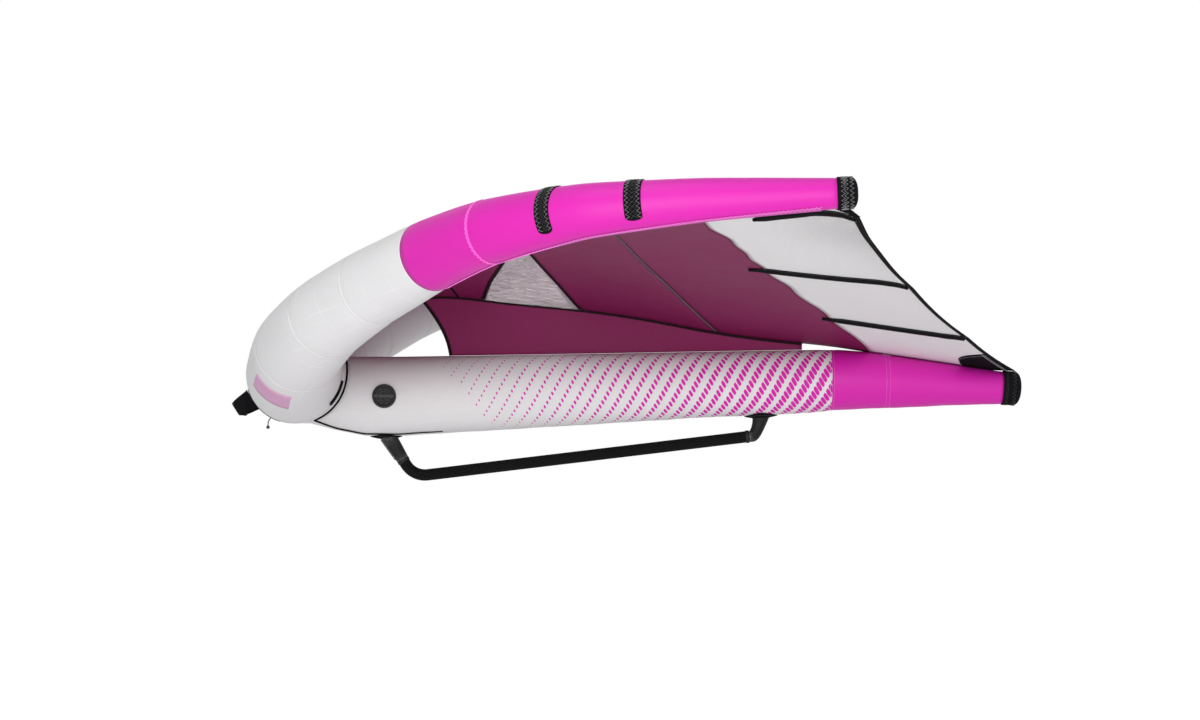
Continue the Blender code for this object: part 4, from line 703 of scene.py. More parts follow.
def handled():
    """Uneven colour from use, dust and light, with fine streaks along one direction."""
    def fill(g, given):
        broad = g.noise(given["Vector"], given["Broad Scale"], 4.0, 0.55)
        stretched = g.node("ShaderNodeMapping", {"Vector": given["Vector"], "Scale": given["Streaks"]}).outputs[0]
        fine = g.noise(stretched, 9.0, 3.0, 0.6)
        tone = g.add(g.mul(g.sub(broad, 0.5), 1.2), g.mul(g.sub(fine, 0.5), 0.8))
        level = g.math("MULTIPLY_ADD", tone, given["Amount"], 1.0)
        return g.scaled(given["Color"], level), g.add(tone, 0.5)
    return node_group("Handled Surface", {"Color": None, "Amount": 0.1, "Broad Scale": 3.0, "Streaks": (1.0, 1.0, 1.0)},
                      ["Color", "Tone"], fill)


def crinkles():
    """Sharp small creases, as on film and on stiff coated cloth."""
    def fill(g, given):
        bent = g.noise(given["Vector"], given["Scale"], 2.0, 0.5, 0.6)
        sharp = g.math("POWER", g.mul(g.math("ABSOLUTE", g.sub(bent, 0.5)), 2.0), 0.6)
        cells = g.node("ShaderNodeTexVoronoi", {"Vector": given["Vector"], "Scale": given["Scale"]},
                       feature="DISTANCE_TO_EDGE").outputs[0]
        return [g.add(g.mul(sharp, given["Creases"]), g.mul(g.math("MINIMUM", cells, 0.25), given["Facets"]))]
    return node_group("Crinkles", {"Scale": 12.0, "Creases": 1.0, "Facets": 1.0}, ["Height"], fill)


def worn_edges():
    """Lighter corners on moulded parts."""
    def fill(g, given):
        edge = g.spread(g.node("ShaderNodeNewGeometry").outputs["Pointiness"], 0.51, 0.56)
        worn = g.mul(edge, g.spread(g.noise(given["Vector"], 300.0, 3.0, 0.6), 0.35, 0.65))
        return [g.mix(g.mul(worn, given["Amount"]), given["Color"], given["Worn Color"])]
    return node_group("Worn Edges", {"Color": None, "Worn Color": None, "Amount": 0.4}, ["Color"], fill)


def scrim_lines():
    """Faint long lines of the reinforcing threads, here and there, along and across the cloth."""
    def fill(g, given):
        bent = g.noise(given["Vector"], 1.7, 1.0, 0.4)
        x, y = g.parts(given["Vector"])
        lines = []
        for axis, pitch in ((x, given["Pitch"]), (y, g.mul(given["Pitch"], 0.83))):
            off = g.math("ABSOLUTE", g.off_middle(g.math("MULTIPLY_ADD", bent, 0.10, axis), pitch))
            lines.append(g.spread(g.mul(off, pitch), 0.0, given["Width"], 1.0, 0.0))
        shown = g.spread(g.noise(given["Vector"], 6.0, 2.0, 0.6), 0.46, 0.60)
        return [g.mul(g.math("MAXIMUM", *lines), shown)]
    return node_group("Scrim Lines", {"Pitch": 0.085, "Width": 0.0028}, ["Mask"], fill)


def dash_halftone():
    """Slanting rows of dots that grow into dashes. The vector is (station, distance down from the strut's top)."""
    def fill(g, given):
        x, down = g.parts(given["Vector"])
        along = g.sub(g.mul(x, 0.942), g.mul(down, 0.621))
        across = g.add(g.mul(x, 0.988), g.mul(down, 0.547))
        grow = g.node("ShaderNodeMapRange",
                      {"Value": x, "From Min": given["Start"], "From Max": given["End"]}).outputs[0]
        # The dots shrink towards the strut's top: a painted highlight, together with the foreshortening seen there.
        # Lower down they shrink again between Fade Start and Fade End.
        middle = g.mul(g.spread(down, 0.02, 0.11, 0.72, 1.0),
                       g.spread(down, given["Fade Start"], given["Fade End"], 1.0, 0.45))
        off = []
        for value, pitch, gain in ((along, given["Dash Pitch"], 0.0047), (across, given["Row Pitch"], 0.0112)):
            size = g.mul(g.math("MULTIPLY_ADD", grow, gain, 0.0017), middle)
            distance = g.mul(g.math("ABSOLUTE", g.off_middle(value, pitch)), pitch)
            off.append(g.math("POWER", g.div(distance, size), 2.8))
        inside = g.spread(g.add(*off), 0.85, 1.15, 1.0, 0.0)
        shown = g.math("GREATER_THAN", g.sub(x, g.mul(down, 0.78)), 0.464)
        return [g.mul(inside, shown)]
    return node_group("Dash Halftone", {"Row Pitch": 0.0367, "Dash Pitch": 0.0139, "Start": 0.50, "End": 1.55,
                                        "Fade Start": 0.22, "Fade End": 0.29}, ["Mask"], fill)


def dot_print():
    """A fine print of dots whose size follows a given amount."""
    def fill(g, given):
        x, y = g.parts(given["Vector"])
        a, b = (g.off_middle(value, given["Pitch"]) for value in (g.add(x, y), g.sub(x, y)))
        far = g.math("SQRT", g.add(g.mul(a, a), g.mul(b, b)))
        radius = g.math("MULTIPLY_ADD", given["Amount"], 0.34, 0.05)
        return [g.spread(g.sub(far, radius), -0.06, 0.06, 1.0, 0.0)]
    return node_group("Dot Print", {"Pitch": 0.0075, "Amount": 0.4}, ["Mask"], fill)


def webbing_weave():
    """Herringbone ribs of heavy webbing."""
    def fill(g, given):
        x, y = g.parts(given["Vector"])
        phase = g.div(g.add(x, g.math("PINGPONG", y, 0.004)), given["Rib Pitch"])
        return [g.math("MULTIPLY_ADD", g.math("SINE", g.mul(phase, 2 * math.pi)), 0.5, 0.5)]
    return node_group("Webbing Weave", {"Rib Pitch": 0.002}, ["Height"], fill)


class Finish:
    """A material in the making: its shader, its coordinates and the nodes that feed them."""

    def __init__(self, name, roughness, space="UV", **constants):
        self.material = bpy.data.materials.new(name)
        self.material.use_nodes = True
        self.graph = Graph(self.material.node_tree)
        self.inputs = self.material.node_tree.nodes["Principled BSDF"].inputs
        self.where = self.graph.node("ShaderNodeTexCoord").outputs[space]
        for label, value in {"Roughness": roughness, **constants}.items():
            self.graph.put(self.inputs[label.replace("_", " ")], value)

    def group(self, tree, **inputs):
        """Outputs of a node group, fed with this material's coordinates and the inputs."""
        made = self.graph.node("ShaderNodeGroup", node_tree=tree())
        for label, value in {"Vector": self.where, **inputs}.items():
            self.graph.put(made.inputs[label.replace("_", " ")], value)
        return made.outputs

    def color(self, value):
        self.graph.put(self.inputs["Base Color"], value)

    def wear(self, color, amount, scale, streaks, smooth, dull):
        """Uneven colour and roughness, as from use."""
        marks = self.group(handled, Color=color, Amount=amount, Broad_Scale=scale, Streaks=streaks)
        self.color(marks["Color"])
        self.graph.put(self.inputs["Roughness"], self.graph.spread(marks["Tone"], 0.0, 1.0, smooth, dull))
        return marks

    def bump(self, height, distance, strength=1.0):
        """Adds a relief on top of the one before."""
        made = self.graph.node("ShaderNodeBump", {"Height": height, "Distance": distance, "Strength": strength})
        for link in self.inputs["Normal"].links:
            self.graph.put(made.inputs["Normal"], link.from_socket)
        self.graph.put(self.inputs["Normal"], made.outputs[0])

    def creased(self, scale, creases, facets, distance, strength):
        self.bump(self.group(crinkles, Scale=scale, Creases=creases, Facets=facets)["Height"], distance, strength)

    def woven(self, pitch, grid_pitch, depth, strength):
        weave = self.group(woven_cloth, Thread_Pitch=pitch, Grid_Pitch=grid_pitch, Grid_Depth=depth)
        self.bump(weave["Height"], 0.00012, strength)


def coated_cloth(name, color, amount=0.07, halftone=None, specular=0.12, scrim_strength=0.26):
    """Polyester sleeve cloth with a resin coat, in one colour or printed with dashes."""
    made = Finish(name, 0.5, Specular_IOR_Level=specular)
    g = made.graph
    if halftone:
        color = g.mix(made.group(dash_halftone)["Mask"], color, halftone)
    marks = made.wear(color, amount, 4.0, (2.0, 14.0, 2.0), 0.42, 0.60)
    scrim = g.mul(made.group(scrim_lines)["Mask"], scrim_strength)
    made.color(g.mix(scrim, marks["Color"], (1.0, 1.0, 1.0), "SOFT_LIGHT"))
    made.creased(7.0, 0.8, 0.5, 0.0016, 0.35)
    made.woven(0.0011, 0.008, 0.25, 0.6)
    return made.material


def canopy_cloth(name, color, amount=0.30, dots=None):
    """Light ripstop with streaks of light along the warp."""
    made = Finish(name, 0.5, Specular_IOR_Level=0.10)
    g = made.graph
    marks = made.wear(color, amount, 2.2, (1.5, 26.0, 1.0), 0.42, 0.62)
    if dots:
        x, y = g.parts(made.where)
        here = g.mul(g.spread(x, 0.05, 0.36, 0.10, 1.0), g.spread(y, 0.15, 0.80, 0.85, 0.15))
        made.color(g.mix(made.group(dot_print, Amount=here)["Mask"], marks["Color"], dots))
    made.creased(5.0, 0.7, 0.6, 0.0030, 0.35)
    made.woven(0.0008, 0.006, 0.7, 0.7)
    return made.material


def window_film(color):
    made = Finish("Window Film", 0.14, Transmission_Weight=0.45, IOR=1.45, Coat_Weight=0.2)
    made.wear(color, 0.10, 9.0, (4.0, 4.0, 1.0), 0.10, 0.30)
    made.creased(22.0, 1.0, 1.6, 0.0040, 0.8)
    return made.material


def black_webbing(name, color):
    made = Finish(name, 0.82, Specular_IOR_Level=0.03)
    made.wear(color, 0.35, 14.0, (3.0, 30.0, 1.0), 0.70, 0.92)
    made.bump(made.group(webbing_weave, Rib_Pitch=0.0022)["Height"], 0.00035, 0.8)
    return made.material


def moulded(name, color, worn):
    made = Finish(name, 0.5, space="Object", Specular_IOR_Level=0.12)
    edges = made.group(worn_edges, Color=color, Worn_Color=worn, Amount=0.5)
    made.wear(edges["Color"], 0.12, 24.0, (9.0, 9.0, 3.0), 0.42, 0.60)
    made.bump(made.graph.noise(made.where, 900.0, 2.0, 0.6), 0.00012, 0.6)
    return made.material


def metal(name, color, roughness):
    made = Finish(name, roughness, space="Object", Metallic=1.0)
    marks = made.wear(color, 0.10, 40.0, (1.0, 1.0, 60.0), roughness * 0.8, roughness * 1.3)
    made.bump(marks["Tone"], 0.00004, 0.5)
    return made.material


def foam_rubber(name, color):
    """Closed-cell foam with a pebbled skin."""
    made = Finish(name, 0.85, space="Object", Sheen_Weight=0.02, Specular_IOR_Level=0.08)
    cells = made.graph.node("ShaderNodeTexVoronoi", {"Vector": made.where, "Scale": 420.0}).outputs[0]
    made.wear(color, 0.35, 30.0, (8.0, 8.0, 8.0), 0.74, 0.92)
    made.bump(cells, 0.0004, 0.7)
    return made.material


def thread(name, color):
    made = Finish(name, 0.75, space="Object", Sheen_Weight=0.05, Specular_IOR_Level=0.2)
    made.wear(color, 0.20, 60.0, (5.0, 5.0, 5.0), 0.6, 0.85)
    return made.material


def braid(name, color):
    """Braided cord, from the cord's own map."""
    made = Finish(name, 0.8, Sheen_Weight=0.05, Specular_IOR_Level=0.2)
    g = made.graph
    x, y = g.parts(made.where)
    waves = [g.math("SINE", g.mul(way, 3200.0)) for way in (g.add(x, y), g.sub(x, y))]
    strands = g.math("MULTIPLY_ADD", g.mul(*waves), 0.5, 0.5)
    made.wear(color, 0.25, 80.0, (5.0, 5.0, 5.0), 0.6, 0.85)
    g.put(made.inputs["Roughness"], g.spread(strands, 0.0, 1.0, 0.6, 0.85))
    made.bump(strands, 0.0004, 0.8)
    return made.material


def soft_film(name, color):
    made = Finish(name, 0.3, space="Object", Transmission_Weight=0.3)
    made.wear(color, 0.10, 6.0, (4.0, 4.0, 4.0), 0.2, 0.45)
    made.creased(14.0, 1.0, 1.0, 0.002, 0.4)
    return made.material


SLOTS = {
    "dacron_white": ("sleeve", "printed", "pale_tape", "pale_thread"),
    "dacron_pink": ("arm", "pink_tape", "flap", "pale_patch", "pink_thread"),
    "canopy_maroon": ("canopy",),
    "canopy_grey": ("tip",),
    "window_film": ("window",),
    "black_webbing": ("webbing", "tape", "seam_tape", "dark_tape", "grey_thread", "dark_thread", "black_thread"),
    "grey_plastic": ("fitting",),
    "black_plastic": ("plastic", "cap"),
    "grip_foam": ("foam",),
    "bladder_film": ("film",),
    "tag_line": ("cord",),
}
SLOT_OF = {key: slot for slot, keys in SLOTS.items() for key in keys}


class Shop:
    """What the operators share: settings, shapes and materials."""

    def __init__(self, scene):
        self.colors, self.cloth, self.seams = scene.wing_colors, scene.wing_cloth, scene.wing_stitching
        self.edge = Edge(self.cloth.sleeve, (*EDGE_SEAMS, PINK_SHARE, PINK_SEAM), self.cloth.pinch, self.cloth.pucker)
        self.strut = Strut(self.cloth.sleeve, self.cloth.pinch)
        self.canopy = Canopy(self.edge, self.strut, self.cloth.flutter)
        self.guides = {}
        self.materials = {}

    def material(self, key):
        """One of the materials below, made when it is first asked for."""
        if key not in self.materials:
            self.materials[key] = self.makers()[key]()
        return self.materials[key]

    def makers(self):
        c = self.colors
        return {
            "sleeve": lambda: coated_cloth("Pale Sleeve Cloth", c.sleeve),
            "printed": lambda: coated_cloth("Printed Sleeve Cloth", c.sleeve, halftone=c.arm, scrim_strength=0.08),
            "arm": lambda: coated_cloth("Bright Sleeve Cloth", c.arm, specular=0.3, scrim_strength=0.04),
            "canopy": lambda: canopy_cloth("Dark Red Ripstop", c.canopy),
            "tip": lambda: canopy_cloth("Dotted Pale Ripstop", c.tip, amount=0.05, dots=(0.16, 0.15, 0.16)),
            "window": lambda: window_film(c.window),
            "webbing": lambda: black_webbing("Black Webbing", c.webbing),
            "tape": lambda: black_webbing("Black Edge Tape", [v * 1.1 for v in c.webbing]),
            "seam_tape": lambda: black_webbing("Grey Seam Tape", (0.16, 0.12, 0.14)),
            "dark_tape": lambda: black_webbing("Dark Seam Tape", (0.020, 0.008, 0.013)),
            "fitting": lambda: moulded("Grey Moulding", c.fitting, (0.22, 0.21, 0.22)),
            "plastic": lambda: moulded("Black Moulding", (0.013, 0.013, 0.014), (0.10, 0.10, 0.10)),
            "rim": lambda: moulded("Grey Valve Rim", (0.17, 0.165, 0.17), (0.35, 0.34, 0.35)),
            "cap": lambda: moulded("Valve Cap", (0.024, 0.0235, 0.0245), (0.16, 0.16, 0.16)),
            "foam": lambda: foam_rubber("Grip Foam", (0.006, 0.006, 0.0065)),
            "rubber": lambda: foam_rubber("Seal Rubber", (0.02, 0.02, 0.02)),
            "aluminium": lambda: metal("Brushed Aluminium", (0.45, 0.45, 0.47), 0.35),
            "steel": lambda: metal("Stainless Steel", (0.55, 0.55, 0.56), 0.28),
            "film": lambda: soft_film("Bladder Film", (0.75, 0.75, 0.78)),
            "pale_tape": lambda: coated_cloth("Pale Seam Tape", (0.80, 0.79, 0.795), 0.03),
            "pink_tape": lambda: coated_cloth("Bright Seam Tape", (0.86, 0.09, 0.60), 0.05),
            # the flap is real cloth, but its paler pink is painted light: the light shining through and reflected along
            # the arm's lower edge
            "flap": lambda: coated_cloth("Pink Flap With Painted Reflected Light", (0.56, 0.10, 0.40), 0.10),
            "pale_patch": lambda: coated_cloth("Pale Pink Patch", (0.62, 0.34, 0.52), 0.10),
            "pale_thread": lambda: thread("Pale Thread", (0.50, 0.49, 0.50)),
            "grey_thread": lambda: thread("Grey Thread", c.thread),
            "dark_thread": lambda: thread("Dark Grey Thread", (0.075, 0.073, 0.075)),
            "black_thread": lambda: thread("Black Thread", (0.012, 0.012, 0.012)),
            "pink_thread": lambda: thread("Bright Thread", (0.90, 0.22, 0.70)),
            "cord": lambda: braid("Braided Tag Cord", (0.10, 0.055, 0.075)),
        }

    def piece(self, name, mesh, key, *nodes, body="wing", slot=None, wall=0.0, wall_side=1.0, sharp=40.0, soft=0):
        """An object of this mesh in a material, with its origin at the boom's grip, in place of the frame's nodes."""
        mesh.transform(Matrix.Translation(Vector(-GRIP)))
        mesh.name = name
        mesh.materials.clear()
        mesh.materials.append(self.material(key))
        mesh.shade_smooth()
        mesh.set_sharp_from_angle(angle=math.radians(sharp))
        obj = bpy.data.objects.new(name, mesh)
        bpy.context.scene.collection.objects.link(obj)
        if wall:
            cloth = obj.modifiers.new("cloth", "SOLIDIFY")
            cloth.thickness = wall
            cloth.offset = wall_side
        if soft:
            smooth = obj.modifiers.new("soft", "SUBSURF")
            smooth.levels = smooth.render_levels = soft
        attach(obj, body)
        slot or SLOT_OF[key]
        if nodes:
            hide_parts(*nodes)
        return obj

    def pair(self, name, mesh, key, *nodes, **facts):
        """A left piece and its mirror image, each in place of the frame's nodes of the same side."""
        sides = (("left", mesh), ("right", mirrored(mesh, name + "_right")))
        return [self.piece(f"{name}_{side}", shape, key, *[f"{node}_{side}" for node in nodes], **facts)
                for side, shape in sides]

    def sew(self, color, points, outs, kind="row"):
        """Notes a line of stitches for the stitching operator."""
        self.guides.setdefault((color, kind), []).append((np.array(points), np.array(outs)))

    def sew_both(self, color, points, outs, kind="row"):
        flip = np.array((1.0, -1.0, 1.0))
        self.sew(color, points, outs, kind)
        self.sew(color, points * flip, outs * flip, kind)

    def sew_edge(self, color, share, angle, lift=0.0002, kind="row", both=True):
        """Notes a line of stitches on the leading edge."""
        sew = self.sew_both if both else self.sew
        sew(color, self.edge.skin(share, angle, lift), self.edge.out(share, angle), kind)

    def sew_strut(self, color, x, angle, lift=0.0002):
        self.sew(color, self.strut.skin(x, angle, lift), self.strut.out(x, angle))


SHOP = {}        # the shop that the operators share, once its shapes are prepared


# Leading edge

def edge_shares(first, last, seams, length):
    """Ring places: even, and close together at the seams."""
    even, close, least = 0.020 / length, 0.003 / length, 0.0011 / length
    shares = [*np.arange(first, last, even), last]
    shares += [seam + k * close for seam in seams for k in range(-7, 8)]
    shares = np.unique(np.round(np.clip(shares, first, last), 6))
    keep = [shares[0]]
    for share in shares[1:]:
        if share - keep[-1] > least:
            keep.append(share)
    return np.array([*keep[:-1], last])


def sleeve_mesh(name, shop, shares):
    edge, sides = shop.edge, shop.cloth.sides
    angle = np.linspace(0, 360, sides, endpoint=False)
    points = edge.skin(shares[:, None], angle[None, :])
    radius = np.interp(np.abs(shares), edge.share, edge.radius)
    turn = np.radians(np.linspace(0, 360, sides + 1))
    uv = np.stack([np.repeat(shares[:, None] * edge.length, sides + 1, 1), radius[:, None] * turn[None, :]], -1)
    return face_out(grid(name, points, uv, wrap=True), inside=edge.axis_near)


def build_leading_edge(shop):
    edge = shop.edge
    seams = [s * side for s in EDGE_SEAMS for side in (-1, 1)]
    wall = {"wall": shop.cloth.sleeve, "wall_side": -1.0, "sharp": 80}
    middle = sleeve_mesh("sleeve", shop, edge_shares(-PINK_SHARE, PINK_SHARE, seams, edge.length))
    shop.piece("center_sleeve", middle, "sleeve", "le_sleeve_center", **wall)
    arm = sleeve_mesh("arm", shop, edge_shares(PINK_SHARE + 0.00012, 1.0, [PINK_SEAM], edge.length))
    shop.pair("arm_sleeve", arm, "arm", "le_sleeve", **wall)
    tapes = [edge_tape(edge, seam, low, high, 0.0026) for seam, (low, high) in zip(EDGE_SEAMS, TAPE_ARCS)]
    tapes.append(edge_tape(edge, PINK_SHARE - 0.0010, 0, 359, 0.0016))
    patch = edge_tape(edge, *EDGE_PATCH, 0.0225 * edge.length, square=True)
    shop.pair("edge_seam_tapes", joined("tapes", tapes), "pale_tape", wall=TAPE_WALL)
    shop.pair("edge_patch", patch, "pale_patch", wall=TAPE_WALL)
    shop.pair("arm_seam_tape", edge_tape(edge, PINK_SEAM, 0, 359, 0.0034), "pink_tape", wall=TAPE_WALL)
    ring = np.linspace(0, 360, 181)
    for seam in EDGE_SEAMS:
        for offset in (-0.0040, 0.0040):
            shop.sew_edge("pale_thread", seam + offset / edge.length, ring)
    for offset, color in ((-0.0050, "pale_thread"), (0.0050, "pink_thread")):
        shop.sew_edge(color, PINK_SHARE + offset / edge.length, ring)
    shop.sew_edge("pink_thread", PINK_SEAM, ring, 0.0009, "bold")


def edge_tape(edge, middle, low, high, half, square=False):
    """A strip of cloth round the leading edge, tapered at its ends unless it is square."""
    angle = np.linspace(low, high, 121)
    ends = np.clip(np.minimum(angle - low, high - angle) / 25.0, 0, 1)
    all_round = high - low > 350
    width = half * (np.ones_like(angle) if square or all_round else 0.15 + 0.85 * np.sqrt(ends))
    share = middle + width[:, None] / edge.length * np.linspace(-1, 1, 7)[None, :]
    return edge.sheet("tape", share, angle[:, None], TAPE_LIFT, ARM_RADIUS)


def build_bands(shop):
    """Black webbing round the arms where they touch the ground and the board."""
    edge = shop.edge
    low, high = BAND_ARC
    angle = np.linspace(low, high, 100)
    inner = angle[4:-4]
    ends = np.clip(np.minimum(angle - low, high - angle) / 9.0, 0, 1)
    across = np.linspace(-1, 1, 9)
    crown = 0.0004 * (1 - across[None, :] ** 4)
    for name, (first, last) in zip(("inner_scuff_band", "outer_scuff_band"), BANDS):
        half = np.maximum((last - first) / 2 * np.sqrt(np.clip(1 - (1 - ends) ** 2, 0, 1)), 0.0004)
        share = (first + last) / 2 + half[:, None] * across[None, :]
        mesh = edge.sheet(name, share, angle[:, None], 0.0003 + crown, 0.07, first)
        shop.pair(name, mesh, "webbing", name, wall=shop.cloth.webbing)
        for offset, color in BAND_STITCHES:
            shop.sew_edge(color, first + (last - first) * offset, inner, shop.cloth.webbing + 0.0008, "zigzag")


def cap_profile(radius, length, overlap):
    """(along, radius) of a webbing cap: its rolled mouth, its straight side and its dome."""
    dome, steps = length * 0.42, 10
    rows = [(-overlap, radius - 0.0012), (-overlap + 0.0012, radius), (-overlap + 0.004, radius + 0.0004),
            (0.0, radius + 0.0003), ((length - dome) * 0.5, radius)]
    for k in range(steps):
        turn = math.pi / 2 * k / steps
        rows.append((length - dome + dome * math.sin(turn), radius * (0.10 + 0.90 * math.cos(turn)) ** 0.85))
    return rows + [(length, 0.0)]


def cap_piece(shop, name, node, center, along, radius, length, overlap, both):
    """A webbing cap with a rolled mouth, its seams pulled in a little."""
    sides = 64
    x, reach = np.array(cap_profile(radius, length, overlap)).T[..., None]
    angle = np.linspace(0, 2 * np.pi, sides, endpoint=False)[None, :]
    pull = 1 - 0.012 * np.clip(x / length, 0, 1) * (0.5 + 0.5 * np.cos(4 * angle)) ** 6
    points = np.stack([x + 0 * angle, reach * pull * np.cos(angle), reach * pull * np.sin(angle)], -1)
    uv = flat_map(x[:, 0], radius * np.linspace(0, 2 * np.pi, sides + 1))
    mesh = aimed(welded(grid(name, points, uv, wrap=True)), center, along)
    face_out(mesh, inside=np.array(center) + np.array(along) * length * 0.3)
    (shop.pair if both else shop.piece)(name, mesh, "webbing", node, wall=0.0018, wall_side=-1.0, sharp=60)


def cap_line(center, along, radius, length, station, angles):
    """Points and outward directions of a ring on a cap."""
    along = unit(along)
    side = unit(np.cross((0, 0, 1.0), along))
    rows = np.array(cap_profile(radius, length, 0.01))[3:]
    here = np.interp(station, rows[:, 0], rows[:, 1])
    turn = np.radians(angles)[:, None]
    out = side * np.cos(turn) + np.cross(along, side) * np.sin(turn)
    return center + along * station + out * (here + 0.0003), out


def build_caps(shop):
    edge, strut = shop.edge, shop.strut
    ring = np.linspace(0, 360, 97)
    center, along = edge.left[-1], edge.along[-1]
    radius = edge.radius[-1] + 0.0032
    cap_piece(shop, "tip_cap", "le_tip_cap", center, along, radius, TIP_CAP, 0.0075, True)
    for station in (0.006, 0.013, 0.026):
        points, outs = cap_line(center, along, radius, TIP_CAP, station, ring)
        shop.sew_both("grey_thread", points, outs, "zigzag")
    slope = (strut.height[-1] - strut.height[-60]) / (strut.x[-1] - strut.x[-60])
    center = np.array((strut.x[-1], 0.0, strut.height[-1]))
    along = np.array((1.0, 0.0, slope))
    radius = strut.radius[-1] + 0.0036
    cap_piece(shop, "strut_cap", "strut_end_cap", center, along, radius, STRUT_CAP, 0.0020, False)
    for station, kind in ((0.006, "row"), (0.010, "row"), (0.028, "zigzag")):
        points, outs = cap_line(center, along, radius, STRUT_CAP, station, ring)
        shop.sew("dark_thread", points, outs, kind)


# Strut

def build_strut(shop):
    strut, sides = shop.strut, shop.cloth.sides
    angle = np.linspace(90, 450, sides, endpoint=False)
    around = np.linspace(90, 450, sides + 1)
    from_top = np.radians(np.minimum(around - 90, 450 - around))
    wall = {"wall": shop.cloth.sleeve, "wall_side": -1.0, "sharp": 80}

    def sleeve(name, x):
        """A tube of cloth with a station for each row and angle."""
        x_map = np.concatenate([x, x[:, :1]], 1)
        uv = np.stack([x_map, np.interp(x_map, strut.x, strut.radius) * from_top[None, :]], -1)
        mesh = grid(name, strut.skin(x, angle[None, :]), uv, wrap=True)
        return face_out(mesh, inside=lambda p: (p[0], 0.0, np.interp(p[0], strut.x, strut.height)))

    start = strut.junction(angle, shop.edge)[None, :]
    share = np.concatenate([np.linspace(0, 0.9965, 120), np.linspace(0.9972, 1.0, 4)])[:, None]
    front = sleeve("front", start * (1 - share) + (STRUT_BREAK - 0.0002) * share)
    cut_valve_hole(front, strut)
    shop.piece("strut_front_sleeve", front, "printed", "strut_sleeve_front", **wall)
    near_seams = (STRUT_TAIL_SEAM + np.arange(-7, 8) * 0.003, STRUT_BREAK + np.arange(1, 7) * 0.003)
    x = np.unique(np.concatenate([np.linspace(STRUT_BREAK + 0.0002, strut.x[-1], 40), *near_seams]))
    shop.piece("strut_rear_sleeve", sleeve("rear", x[:, None] + 0 * angle), "arm", "strut_sleeve_rear", **wall)
    ring = np.linspace(90, 450, 181)
    for seam, before in ((STRUT_BREAK, "pale_thread"), (STRUT_TAIL_SEAM, "pink_thread")):
        shop.sew_strut(before, seam - 0.005, ring)
        shop.sew_strut("pink_thread", seam + 0.005, ring)


def cut_valve_hole(mesh, strut):
    """Opens the sleeve under the valve, so that its body passes through."""
    seat = Vector(strut.middle(np.array(VALVE_STATION)))

    def over_seat(center):
        return center.y < 0 and (Vector((center.x, 0.0, center.z)) - seat).length < VALVE_HOLE

    with editing(mesh) as shape:
        away = [face for face in shape.faces if over_seat(face.calc_center_median())]
        bmesh.ops.delete(shape, geom=away, context="FACES")


def build_bladders(shop):
    edge, strut = shop.edge, shop.strut
    shares = np.linspace(-0.985, 0.985, 120)
    radii = np.interp(np.abs(shares), edge.share, edge.radius) - BLADDER_GAP
    radii[[0, -1]] *= 0.5
    mesh = tube("bladder", edge.at(shares, edge.left), radii, 32)
    shop.piece("edge_bladder", mesh, "film", "le_bladder", sharp=80)
    x = np.linspace(0.302, 1.99, 60)
    radii = (np.interp(x, strut.x, strut.radius) - BLADDER_GAP) * np.clip(np.sqrt((x - 0.295) / 0.05), 0.3, 1.0)
    mesh = tube("bladder", strut.middle(x), radii, 32)
    shop.piece("strut_inner_bladder", mesh, "film", "strut_bladder", sharp=80)


# Canopy

def canopy_grid(shop, first, last, rows, cols=81, begin=0.0):
    """Points and a map in metres between two spanwise lines, each given as place across against share."""
    across = np.linspace(begin, 1, cols)
    low = np.interp(across, *zip(*first))
    high = np.interp(across, *zip(*last))
    t = np.linspace(0, 1, rows)[:, None]
    share = low[None, :] * (1 - t) + high[None, :] * t
    points = shop.canopy.point(share, across[None, :] + 0 * share)
    middle = cols // 2
    deep = reach_along(points[:, middle])
    wide = reach_along(points[rows // 2])
    return points, flat_map(deep, wide)


def level(share):
    return ((0.0, share), (1.0, share))


def moved(line, by):
    return tuple((across, share + by) for across, share in line)


